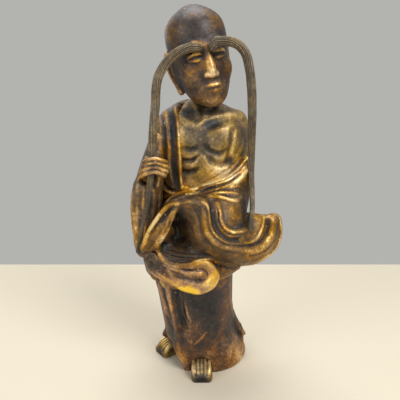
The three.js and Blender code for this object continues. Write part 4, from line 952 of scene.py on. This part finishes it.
class MONK_OT_eyebrows(bpy.types.Operator):
    """Two rope-thick brows of combed strands, rooted in the forehead"""
    bl_idname = "monk.eyebrows"
    bl_label = "Eyebrows"

    def execute(self, context):
        diameter = context.scene.monk_sculpt.brow_diameter / MM
        self.brow("right_eyebrow", RIGHT_BROW, diameter / 2, 7.0)
        self.brow("left_eyebrow", LEFT_BROW, diameter / 2, -9.0)
        return {"FINISHED"}

    def brow(self, node, points, radius, twist):
        """A tube of wavy strands that turn round it, thinner at the root and towards the tip."""
        sides, strands, tip = 96, 16, 0.56
        route = spline(points, 1.5)
        length = np.concatenate([[0], np.cumsum(np.linalg.norm(np.diff(route, axis=0), axis=1))])
        share = length / length[-1]
        along = np.gradient(route, axis=0)
        along /= np.linalg.norm(along, axis=1)[:, None]
        root = np.clip(share / 0.06, 0, 1)
        thin = np.clip((share - 0.35) / 0.65, 0, 1)
        thick = radius * (0.72 + 0.28 * root ** 2 * (3 - 2 * root))
        thick *= 1 - (1 - tip) * thin ** 2 * (3 - 2 * thin)
        angle = np.arange(sides) / sides * 2 * math.pi
        across = np.cross(along[0], (0.0, 0.0, 1.0))
        rings, marks = [], []
        for i, middle in enumerate(route):
            across = across - along[i] * (across @ along[i])
            across /= np.linalg.norm(across)
            up = np.cross(along[i], across)
            turn = strands * angle + twist * share[i] * 2 * math.pi
            wave = 0.7 * np.sin(3 * angle + 9 * share[i]) + 0.5 * np.sin(5 * angle - 14 * share[i])
            ridge = np.abs(np.cos((turn + wave) / 2)) ** 0.7
            fine = 0.35 * np.cos(2 * turn + 5 * share[i]) + 0.3 * np.sin(7 * angle + 30 * share[i])
            out = thick[i] * (0.88 + 0.2 * ridge + 0.05 * fine)
            rings.append(middle + out[:, None] * (np.cos(angle)[:, None] * across
                                                  + np.sin(angle)[:, None] * up))
            marks.append(1.4 * ridge - 0.95 + 0.3 * fine)
        ring = np.arange(sides)
        after = (ring + 1) % sides
        faces = [np.stack([i * sides + ring, i * sides + after, (i + 1) * sides + after,
                           (i + 1) * sides + ring], axis=1) for i in range(len(rings) - 1)]
        relief = 0.42 * np.concatenate(marks)
        close_ends(add_piece(node, np.vstack(rings), np.vstack(faces), {"relief": relief}, "hair"))


def close_ends(piece):
    """Fills the open ends of a tube."""
    work = bmesh.new()
    work.from_mesh(piece.data)
    bmesh.ops.holes_fill(work, edges=[e for e in work.edges if e.is_boundary], sides=0)
    bmesh.ops.recalc_face_normals(work, faces=work.faces[:])
    work.to_mesh(piece.data)
    work.free()
    piece.data.shade_smooth()


class MONK_OT_right_sleeve(bpy.types.Operator):
    """Right sleeve, hanging in long folds from the raised forearm"""
    bl_idname = "monk.right_sleeve"
    bl_label = "Right sleeve"

    def execute(self, context):
        clay = Clay("right_sleeve", 1.8)
        clay.lines(-50, [
            (((-50, 212), (-51, 188), (-54, 164), (-57, 146)), 7, 1.0, 0.0),
            (((-62, 214), (-64, 194), (-63, 170), (-60, 146)), 9, 1.2, 0.4),
            (((-43, 208), (-44.5, 190), (-47, 172)), 5, 0.8, -0.2),
            (((-56, 214), (-57, 190), (-58, 160)), 5, -0.8, -0.3),
            (((-46.5, 210), (-47.5, 188), (-50, 164)), 5, -1.0, -0.5),
            (((-38, 206), (-40, 186), (-42, 168)), 4.5, 0.9, -0.2),
        ])
        clay.lines(BACK, [
            (((-40, 252), (-50, 222), (-58, 186), (-58, 146)), 6, 2.2, 0.3),
            (((-46, 246), (-58, 214), (-64, 184), (-61, 150)), 6, 2.2, 0.4),
            (((-44, 232), (-50, 200), (-53, 166)), 6, 2.0, 0.3),
            (((-43, 248), (-54, 216), (-61, 184), (-60, 152)), 3, -1.8, -0.4),
        ])
        clay.wash((-64, -36, 186), (15, 30, 44), 1.1)
        # Painted shadow under the fist
        clay.wash((-46, -44, 196), (10, 20, 34), -0.6)
        clay.wash((-50, -20, 246), (20, 34, 26), -0.7)
        clay.cast("cloth")
        return {"FINISHED"}


class MONK_OT_right_hand(bpy.types.Operator):
    """Right fist, its fingers stacked round the brow"""
    bl_idname = "monk.right_hand"
    bl_label = "Right hand"

    def execute(self, context):
        clay = Clay("right_hand", 0.9)
        # Palm and wrist, thinner than the solid so that the fingers stand out
        clay.field += 1.9
        clay.ball((-43.5, -43.5, 230.8), (10, 8.8, 7), 3)
        clay.ball((-50.5, -33, 226), (7.5, 11, 8), 4)
        clay.ball((-62, -42, 240.5), (9.5, 24, 9), 2, 0, True)
        clay.ball((-55, -40, 212.5), (9, 14, 6.5), 2, 0, True)
        for knuckle, bend, tip, thick in (
                ((-49.5, 236.3), (-41, 238.3), (-32.5, 236), 1.9),
                ((-51, 232.2), (-41.5, 234.6), (-32, 232), 2.0),
                ((-52.5, 228), (-42, 230.8), (-32.5, 228), 2.0),
                ((-52, 224), (-42.5, 227), (-34, 224.5), 1.8)):
            clay.roll(seen(-52, [
                (knuckle[0] - 1.5, knuckle[1] - 1.5, -40), (*knuckle, -49), (*bend, -53.5), (*tip, -49.5),
                (tip[0] + 1.5, tip[1] - 1.5, -42)]), thick, 0.5, 0.3)
        # Gaps between the fingers
        for left, middle, right in (
                ((-52, 234.6), (-41.3, 236.5), (-31, 234)), ((-53, 230.2), (-41.8, 232.7), (-31, 230)),
                ((-53, 226), (-42.3, 228.9), (-32.5, 226.3))):
            clay.roll(seen(-52, [(*left, -48), (*middle, -55.2), (*right, -49.5)]), 0.7, 0.7, -0.5, True)
        clay.wash((-44, -50, 232), (16, 12, 12), -0.1)
        clay.cast("head")
        return {"FINISHED"}


# The left sleeve, its tail and the hem, as curves of x, z and depth on the plane 55 mm ahead of the
# figure's axis.
SLEEVE_PLANE = -55.0
SLEEVE_CURVES = (
    # Where the sleeve meets the robe, and the cloth over the forearm
    ((-24, 204, -44), (-10, 206, -43), (4, 207, -44), (20, 212, -42), (34, 219, -36), (44, 230, -28)),
    ((-20, 198, -57), (-10, 200, -60), (0, 200, -61)),
    ((-18, 192, -57), (-8, 192, -61), (-1, 190, -63)),
    # Mouth
    ((-22, 186, -48), (-14, 184, -53), (-7, 179, -58)),
    ((-27, 178, -36), (-22, 170, -33), (-27, 165, -35)),
    ((-17, 174, -38), (-14, 164, -36), (-20, 160, -36), (-9, 156, -44)),
    ((-5, 174, -61), (-3, 166, -61), (0, 159, -60), (5, 153, -58)),
    # Cuff
    ((-22, 190, -60), (-27.5, 181, -61), (-31, 171, -59.5), (-36.5, 162, -57), (-41, 154, -54)),
    ((-26, 192, -59.5), (-33, 183, -60), (-38.5, 174, -59), (-43.5, 164, -56), (-48, 154, -52)),
    ((-20.5, 198, -58), (-29.5, 196, -60), (-36, 189, -61), (-43, 179, -60), (-49.5, 169, -57),
     (-56, 153, -50)),
    # Flap under the mouth, and its rim, which loops round the hem's front fold
    ((-36, 158, -41), (-26, 152, -44), (-14, 149.5, -47), (-2, 148.5, -51), (8, 147.5, -54)),
    ((-36, 150, -46), (-26, 144, -51), (-12, 142, -53.5), (2, 144, -55), (12, 144, -55)),
    ((-41.5, 151.5, -51), (-37, 142, -53), (-29, 136, -55.5), (-19.5, 134, -57.5), (-11, 135.5, -58.5),
     (-3, 139.5, -59), (4, 141, -59), (11, 138, -58.5), (15, 131.5, -58), (17.5, 124, -57.5),
     (14.5, 115, -57.5), (8.5, 109.5, -58), (0, 106, -58.5), (-8.5, 107.5, -58.5), (-17, 110.5, -57.5),
     (-25, 115.5, -56), (-33.5, 121.5, -54), (-42, 128, -51)),
    ((-50, 147, -48), (-48, 138, -47), (-45, 130, -48)),
    ((12, 127, -57), (9.5, 117, -59), (0, 112.5, -60), (-12, 114.5, -59), (-24, 121, -56.5),
     (-36, 130, -53)),
    ((-17, 130.5, -55), (-7, 131, -54.5), (4, 131, -54.5), (7, 126, -54.5), (4, 121, -55.5),
     (-4, 120, -56), (-14, 122, -56), (-22, 124.5, -55.5)),
    ((-31, 130.8, -56), (-18, 128, -56.6), (-7, 127.3, -57), (1, 126.4, -56.6)),
    # Nested folds, from the innermost out
    ((16, 197, -57), (17, 184, -62), (19.5, 175, -65), (23.5, 170, -66), (30, 168, -65),
     (38, 168.5, -61), (44, 172, -55)),
    ((13.5, 190.5, -63), (14, 182, -65), (16, 175, -66.5), (21, 168, -67.5), (28.5, 164, -66.5),
     (38, 164, -62), (45, 166.5, -56)),
    ((0, 200.5, -61), (5.5, 197, -63.5), (8.5, 189, -65.5), (9.5, 180.5, -67), (12, 172, -68.5),
     (17.5, 165, -69), (24.5, 160, -68), (32.5, 158.5, -65), (39.5, 159.5, -61), (46, 161.5, -55)),
    ((2.5, 194.5, -64), (5.5, 186, -66), (6, 176.5, -67.5), (9, 168, -68.5), (14.5, 161, -68.5),
     (22, 156, -67), (30, 154.5, -64.5), (37, 157, -61.5), (42.5, 156, -57.5), (47, 152, -52)),
    ((1, 190, -64), (2, 179, -65.5), (4, 168, -66), (9, 159.5, -66), (16.5, 153.5, -65),
     (24.5, 151.5, -63.5), (33, 150, -61), (40, 149, -57)),
    ((8, 149, -59), (22, 145, -59), (33, 142, -56), (47, 140, -48), (60, 143, -40), (70, 150, -32)),
    ((14, 139, -52), (30, 135, -46), (46, 135, -38)),
    # Elbow: hollow panel inside the folds, and the cloth above it
    ((24, 190, -58), (30, 182, -59), (31, 174, -60)),
    ((35, 192, -51), (38, 182, -53), (39, 175, -54)),
    ((6, 204.5, -51), (18.5, 207.5, -49), (32, 203, -47), (38, 203, -42)),
    ((12, 200, -53), (24, 197.5, -53), (36, 196.5, -48)),
    ((44, 214, -26), (44, 200, -32), (44, 186, -39)),
    # Tail
    ((44, 188, -40), (54, 186.5, -34), (62, 185, -30), (68, 186, -27), (72.5, 185.5, -24), (76, 180, -19)),
    ((46, 181, -40), (48, 174, -43), (50, 168, -47)),
    ((52, 165, -47), (56, 170, -41), (58, 180, -36)),
    ((63, 180, -29), (61.5, 167, -34), (55, 158, -44), (47, 156, -52)),
    ((69, 180, -30), (70, 167, -32), (66, 156, -37), (58, 149, -45)),
    ((77, 167, -18), (73, 153, -26), (65, 144, -33), (54, 137, -40)),
)
SLEEVE_OUTLINE = (
    (-20, 203), (-10, 205), (2, 206), (10, 209), (22, 213), (34, 220), (43, 229), (46, 215), (45, 200),
    (43, 188), (42.5, 178), (45, 165), (47.5, 150), (48, 140), (36, 134), (24, 137), (12, 140),
    (4, 139.5), (-3, 138), (-11, 134), (-19.5, 132.5), (-29, 134), (-38, 141), (-42.5, 150),
    (-50, 148.5), (-57, 151), (-55.5, 158), (-50.5, 170), (-44, 180.5), (-37, 190.5), (-30, 197.5),
)
TAIL_OUTLINE = (
    (44, 188.5), (54, 187), (62, 185.5), (68, 186.8), (73, 186.5), (76.6, 181), (77.5, 166), (74, 153),
    (66, 144), (56, 138), (46, 135.5), (34, 136), (34, 150), (36, 165), (38, 178), (39, 187),
)
HEM_OUTLINE = (
    (-29, 136.5), (-19.5, 135), (-11, 136.5), (-3, 140.5), (4, 142), (11, 139), (15.5, 132), (18.5, 124),
    (15.5, 114.5), (9, 108.5), (0, 105), (-9, 106.5), (-18, 109.5), (-26, 114.5), (-35, 119.5), (-44, 125),
    (-51, 134), (-54, 146), (-46, 150), (-38, 143),
)
SLEEVE_THICK, TAIL_THICK, HEM_THICK = 14, 10, 8

# Folds that run from the left sleeve on over its tail
SHARED_FOLDS = (
    (((-2, 203), (5.5, 197), (8.5, 189), (9.5, 180.5), (12, 172), (17.5, 165), (24.5, 160), (32.5, 158),
      (40, 158.5), (48, 160), (54, 164), (58, 172), (59.5, 180), (60, 187)), 2.6, 1.2, 0.8),
    (((-4, 201), (2, 194.5), (5, 186), (5.5, 176.5), (8.5, 167.5), (14, 160), (22, 155), (30, 153.5),
      (38, 153), (46, 151.5), (54, 152), (62, 157.5), (67.5, 167), (69, 180)), 5, 1.2, 0.6),
)


@functools.cache
def sleeve_sheet():
    """The cloth of the left sleeve, its tail and the hem."""
    return Drape(SLEEVE_PLANE, (-66, 96), (86, 236), SLEEVE_CURVES)


class MONK_OT_left_sleeve(bpy.types.Operator):
    """Left sleeve: a banded cuff round a dark mouth, and nested folds that turn out to the tail"""
    bl_idname = "monk.left_sleeve"
    bl_label = "Left sleeve"

    def execute(self, context):
        clay = Clay("left_sleeve", 1.2)
        clay.drape(sleeve_sheet(), SLEEVE_OUTLINE, SLEEVE_THICK, trim=-30)
        # Round the upper arm, with the rolled rim there
        clay.ball((39, -4, 210), (10.5, 19, 26), 4)
        clay.roll([(45, -18, 234), (48.5, -9, 237), (49.5, 2, 238), (47, 12, 238.5), (42, 19, 240)],
                  (2, 2.4, 2.4, 2.4, 2), 3, 0.8)
        clay.lines(SLEEVE_PLANE, [
            # Cuff
            (((-20.5, 197.5), (-29, 195.5), (-36, 188.5), (-43, 178.5), (-49, 168.5), (-55, 154)),
             2.6, 1.3, 0.7),
            (((-22, 191), (-27, 182), (-30.5, 172), (-36, 162.5), (-40.5, 154.5)), 2.6, 1.3, 0.6),
            (((-25, 194.5), (-31, 188), (-37, 181), (-42, 174.5), (-46.5, 168)), 2.8, -1.3, -0.8),
            (((-30, 183), (-36, 172), (-43, 161), (-49, 152)), 2, -0.5, -0.2),
            # Nested folds, from the innermost out
            (((16.5, 198), (18, 190), (19, 181), (21.5, 175), (25.5, 171), (32, 168.5), (38, 169), (44, 172),
              (49, 178)), 4.4, 1.6, 0.8),
            (((9, 203), (14, 196.5), (15.2, 188), (15.8, 180), (18, 174), (22.5, 168), (29.5, 164.5),
              (38, 164.8), (45, 167.5)), 2, 1.0, 0.6),
            *SHARED_FOLDS,
            (((4, 204), (9.8, 198), (11.8, 189), (12.6, 180.5), (15, 172.5), (20, 166), (27.5, 161.6),
              (38, 161.6), (46, 163), (53, 168), (56, 178)), 5, -1.5, -0.5),
            (((13, 199), (16.6, 190), (17.4, 181), (19.8, 174.4), (24, 169.4), (31, 166.6), (38, 167),
              (48, 170)), 1.8, -1.0, -0.5),
            (((0, 197.5), (5, 192), (7.2, 184), (7.8, 175), (10.8, 168), (17, 161.4), (26, 157), (36, 156.6),
              (48, 156.5)), 1.8, -0.9, -0.4),
            (((-6, 194), (-2, 186), (0, 176), (3, 166), (9, 157.5), (17, 151)), 2, -0.6, -0.2),
            # Creases at the elbow
            (((1, 204.5), (12, 209), (27.3, 213), (36, 213.5)), 2.4, 1.2, 0.7),
            (((3, 204.5), (15, 207), (28.2, 207.6), (36, 206)), 2.0, 1.0, 0.7),
            (((5, 204.5), (16.4, 204), (27.5, 200.6), (35, 200.4), (38, 203.5)), 3, 1.5, 0.8),
            (((8, 206.5), (18, 209.5), (29, 210.5)), 2, -0.9, -0.5),
            (((10, 205.3), (20, 205.4), (31, 203.6)), 2, -1.0, -0.5),
            # Flap under the mouth
            (((-41.5, 151.5), (-37, 142), (-29, 135.5), (-19.5, 134), (-11, 135.5), (-3, 139), (5, 141)),
             2.4, 1.2, 0.7),
            (((-33, 149), (-22, 145), (-8, 144), (8, 144)), 2, -0.7, -0.2),
            (((-34, 146), (-24, 142), (-10, 141.5), (4, 143.5)), 1.6, -0.7, -0.3),
            (((-31, 142), (-20, 139), (-8, 140)), 2, -0.9, -0.3),
            (((-30, 152), (-18, 149), (-4, 147.5), (10, 146)), 1.6, -0.6, -0.2),
            (((-18, 201), (-8, 202), (1, 200)), 1.8, -0.7, -0.3),
            (((-17, 196), (-8, 196.5), (0, 194)), 1.8, -0.7, -0.3),
        ])
        clay.wash((-40, -56, 172), (22, 30, 30), 1.0)
        clay.wash((22, -60, 164), (36, 40, 40), 0.5)
        clay.wash((30, -54, 138), (28, 24, 8), -0.7)
        # Painted highlight on the top of the folds and at the elbow, where light falls from above
        clay.wash((18, -56, 192), (8, 20, 18), 0.5)
        clay.wash((31, -50, 190), (14, 18, 18), 0.6)
        # Painted shade inside the mouth
        clay.wash((-16, -40, 168), (14, 20, 16), -0.6)
        clay.beside = clay.slab(sleeve_sheet(), TAIL_OUTLINE, TAIL_THICK)[2]
        clay.cast("cloth")
        return {"FINISHED"}


class MONK_OT_sleeve_tail(bpy.types.Operator):
    """End of the left sleeve, blown out to the side in two lobes"""
    bl_idname = "monk.sleeve_tail"
    bl_label = "Sleeve tail"

    def execute(self, context):
        clay = Clay("left_sleeve_tail", 1.6, room=18.0)
        clay.drape(sleeve_sheet(), TAIL_OUTLINE, TAIL_THICK, trim=30, sunk=0.5)
        clay.field = blurred(clay.field, 0.9 / clay.step)
        clay.lines(SLEEVE_PLANE, [
            *SHARED_FOLDS,
            (((20, 160), (38, 156), (50, 156.5), (59, 162), (63.5, 170), (65, 180)), 2.4, -0.8, -0.4),
            (((20, 151), (40, 146), (54, 146.5), (65, 153), (71.5, 164), (73, 178)), 2, -0.7, -0.3),
            (((62, 186.5), (67, 187), (72.5, 185.5), (75, 180), (76, 166.5), (72.5, 154), (64.5, 145.5),
              (54, 139.5)), 3, 1.2, 0.7),
        ])
        clay.lines(BACK, [
            (((72, 168), (66, 152), (50, 140)), 5, 2.0, 0.3),
            (((62, 168), (56, 150), (44, 138)), 5, 2.0, 0.3),
        ])
        clay.wash((66, -30, 158), (30, 40, 38), 1.5)
        # Painted shade on the tail round the brow's tip
        clay.wash((48, -40, 178), (8, 20, 14), -0.8)
        clay.wash((48, -44, 138), (20, 24, 7), -0.6)
        clay.beside = clay.slab(sleeve_sheet(), SLEEVE_OUTLINE, SLEEVE_THICK)[2]
        clay.cast("cloth")
        return {"FINISHED"}


class MONK_OT_hem_fold(bpy.types.Operator):
    """Gilt fold that loops over the front of the hem"""
    bl_idname = "monk.hem_fold"
    bl_label = "Hem fold"

    def execute(self, context):
        clay = Clay("hem_fold", 1.6, room=14.0)
        clay.drape(sleeve_sheet(), HEM_OUTLINE, HEM_THICK, trim=-44)
        clay.field = blurred(clay.field, 0.7 / clay.step)
        clay.lines(SLEEVE_PLANE, [
            (((4, 139.5), (11, 137), (15, 131.5), (17.5, 124), (14.5, 115.5), (8.5, 110), (0, 106.5),
              (-8.5, 108), (-17, 111), (-25, 116), (-33.5, 122), (-41, 128)), 2.4, 0.7, 0.2),
            (((-28, 133), (-17, 131), (-7, 131.2), (3, 131.6), (7.4, 127), (5.5, 121.5), (-3.5, 120.2),
              (-13.4, 122), (-24, 125.5)), 1.8, -0.7, -0.2),
            (((-30, 131.5), (-18, 128.6), (-7, 127.6), (0, 126.8)), 2, 0.3, 0.0),
            (((-36, 134), (-26, 129.5), (-16, 126)), 1.8, -0.7, -0.3),
            (((-38, 138), (-28, 135.5), (-18, 133.8)), 1.6, -0.6, -0.2),
        ])
        clay.wash((-11, -58, 109.5), (14, 18, 7.5), 2.4)
        clay.wash((-6, -56, 126), (14, 14, 5), -0.2)
        clay.wash((10, -58, 118), (10, 16, 14), 0.5)
        clay.wash((-45, -50, 140), (22, 24, 18), -0.8)
        clay.cast("gilt")
        return {"FINISHED"}


class MONK_OT_feet(bpy.types.Operator):
    """Feet, bare, with five toes each"""
    bl_idname = "monk.feet"
    bl_label = "Feet"

    def execute(self, context):
        self.foot("left_foot", (2.0, -28.0), 0.0, 1)
        self.foot("right_foot", (-30.0, 13.0), -52.0, -1)
        return {"FINISHED"}

    def foot(self, node, middle, turn, mirror):
        """A foot about its middle, turned by degrees, its big toe on the side that mirror gives."""
        clay = Clay(node, 1.0)
        c, s = math.cos(math.radians(turn)), math.sin(math.radians(turn))

        def at(x, y, z):
            x *= mirror
            return (middle[0] + c * x - s * y, middle[1] + s * x + c * y, z)

        if node == "left_foot":  # its sides stand free of the hem
            for side in (-1, 1):
                clay.roll([at(side * 15.5, -6, 10), at(side * 13.6, -16, 6), at(side * 10.8, -26, 3)],
                          4.4, 2, 0, True)
        for x, length, thick in (
                (-7.8, -19.6, 2.7), (-3.9, -20.8, 2.2), (-0.2, -20.8, 2.1), (3.4, -20.2, 2.1),
                (7, -19, 2.2)):
            clay.roll([at(x * 1.15, -2, 13.6), at(x * 1.1, -11, 12.2), at(x, length + 3, 9),
                       at(x * 0.74, length + 1, 3)], (1.2, thick * 0.8, thick, thick), 0.8, 0.6)
        for x in (-5.9, -2.1, 1.5, 5.2):
            clay.roll([at(x * 1.12, -3, 14.6), at(x * 1.05, -12, 13.2), at(x, -19, 10),
                       at(x * 0.74, -22.5, 3)], 0.4, 0.6, -0.4, True)
        clay.wash(at(0, -24, 3), (15, 9, 10), -1.9)
        clay.wash(at(0, -10, 14), (14, 14, 8), 0.4)
        clay.cast("skin")


PINS = [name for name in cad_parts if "_pin" in name or "_dowel" in name]


class MONK_OT_pins(bpy.types.Operator):
    """Pins and dowels of the castings, sunk and chased over"""
    bl_idname = "monk.pins"
    bl_label = "Pins"

    def execute(self, context):
        for name in PINS:
            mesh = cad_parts[name].data
            mesh.materials.clear()
            mesh.materials.append(finish("skin"))
        return {"FINISHED"}


class MONK_OT_stage(bpy.types.Operator):
    """Pale floor, soft lamps and a camera a little above the head"""
    bl_idname = "monk.stage"
    bl_label = "Stage"

    def execute(self, context):
        scene = context.scene
        stage = scene.monk_stage
        self.floor(scene, stage)
        self.world(scene, stage)
        # Lamps: name, place and width in metres, power in watts
        for name, place, size, power in (
                ("key", (0.8, -0.95, 1.15), 0.8, stage.key),
                ("fill", (-0.95, -0.8, 0.7), 0.8, 0.35 * stage.key),
                ("top", (-0.1, 0.25, 1.3), 0.7, 0.5 * stage.key),
                ("rim", (-0.6, 1.1, 0.8), 0.9, 0.2 * stage.key)):
            lamp = bpy.data.lights.new(name, "AREA")
            lamp.size = size
            lamp.energy = power
            rig = bpy.data.objects.new(name, lamp)
            rig.location = place
            rig.rotation_euler = (Vector((0, 0, 0.2)) - rig.location).to_track_quat("-Z", "Y").to_euler()
            scene.collection.objects.link(rig)
        # The lens is as long as the picture is wide
        camera = bpy.data.cameras.new("camera")
        camera.sensor_width = 36.0
        camera.lens = 36.0
        view = bpy.data.objects.new("camera", camera)
        view.location = (EYE + SHIFT) * MM
        view.rotation_euler = (math.radians(90 - EYE_TILT), 0, 0)
        scene.collection.objects.link(view)
        scene.camera = view
        scene.view_settings.view_transform = "Standard"
        return {"FINISHED"}

    def floor(self, scene, stage):
        """A floor that ends behind the figure, where the background begins."""
        mesh = bpy.data.meshes.new("floor")
        side, front, back = 2.0, -2.0, 0.273
        mesh.from_pydata([(-side, front, 0), (side, front, 0), (side, back, 0), (-side, back, 0)], [],
                         [(0, 1, 2, 3)])
        floor = bpy.data.objects.new("floor", mesh)
        scene.collection.objects.link(floor)
        material = bpy.data.materials.new("matt paper")
        material.use_nodes = True
        tree = material.node_tree
        tree.nodes.clear()
        # Matt paper: no sheen, so that it keeps only the soft shadow
        shader = add_node(tree, "ShaderNodeBsdfPrincipled", None, Base_Color=(*stage.floor, 1),
                          Roughness=0.9)
        add_node(tree, "ShaderNodeOutputMaterial", None, Surface=shader.outputs[0])
        mesh.materials.append(material)

    def world(self, scene, stage):
        """A plain background that the camera and reflections see in full, and that lights the figure
        at the share set as ambient."""
        world = bpy.data.worlds.new("studio")
        world.use_nodes = True
        tree = world.node_tree
        tree.nodes.clear()
        rays = add_node(tree, "ShaderNodeLightPath").outputs
        full = rays["Is Camera Ray"]
        for kind in ("Is Glossy Ray", "Is Transmission Ray"):
            full = add_node(tree, "ShaderNodeMath", {"operation": "MAXIMUM"}, i0=full,
                            i1=rays[kind]).outputs[0]
        level = add_node(tree, "ShaderNodeMapRange", None, Value=full, To_Min=stage.ambient, To_Max=1.0)
        sky = add_node(tree, "ShaderNodeBackground", None, Color=(*stage.wall, 1),
                       Strength=level.outputs[0])
        add_node(tree, "ShaderNodeOutputWorld", None, Surface=sky.outputs[0])
        scene.world = world


STEPS = (
    MONK_OT_stage, MONK_OT_skirt, MONK_OT_hip_robe, MONK_OT_torso, MONK_OT_shoulder_robe, MONK_OT_head,
    MONK_OT_eyebrows, MONK_OT_right_sleeve, MONK_OT_right_hand, MONK_OT_left_sleeve,
    MONK_OT_sleeve_tail, MONK_OT_hem_fold, MONK_OT_feet, MONK_OT_pins,
)


class MONK_PT_panel(bpy.types.Panel):
    """Settings of the figure and the steps that build it"""
    bl_idname = "MONK_PT_panel"
    bl_label = "Bronze Monk"
    bl_space_type = "VIEW_3D"
    bl_region_type = "UI"
    bl_category = "Monk"

    def draw(self, context):
        scene = context.scene
        for settings in (scene.monk_sculpt, scene.monk_colors, scene.monk_stage):
            for name in settings.__annotations__:
                self.layout.prop(settings, name)
        for step in STEPS:
            self.layout.operator(step.bl_idname)


CLASSES = (MonkColors, MonkSculpt, MonkStage, *STEPS, MONK_PT_panel)


def register():
    for cls in CLASSES:
        bpy.utils.register_class(cls)
    bpy.types.Scene.monk_colors = PointerProperty(type=MonkColors)
    bpy.types.Scene.monk_sculpt = PointerProperty(type=MonkSculpt)
    bpy.types.Scene.monk_stage = PointerProperty(type=MonkStage)


def unregister():
    del bpy.types.Scene.monk_stage
    del bpy.types.Scene.monk_sculpt
    del bpy.types.Scene.monk_colors
    for cls in reversed(CLASSES):
        bpy.utils.unregister_class(cls)


def main():
    register()
    for step in STEPS:
        getattr(bpy.ops.monk, step.bl_idname.split(".")[1])()


if __name__ == "__main__":
    main()
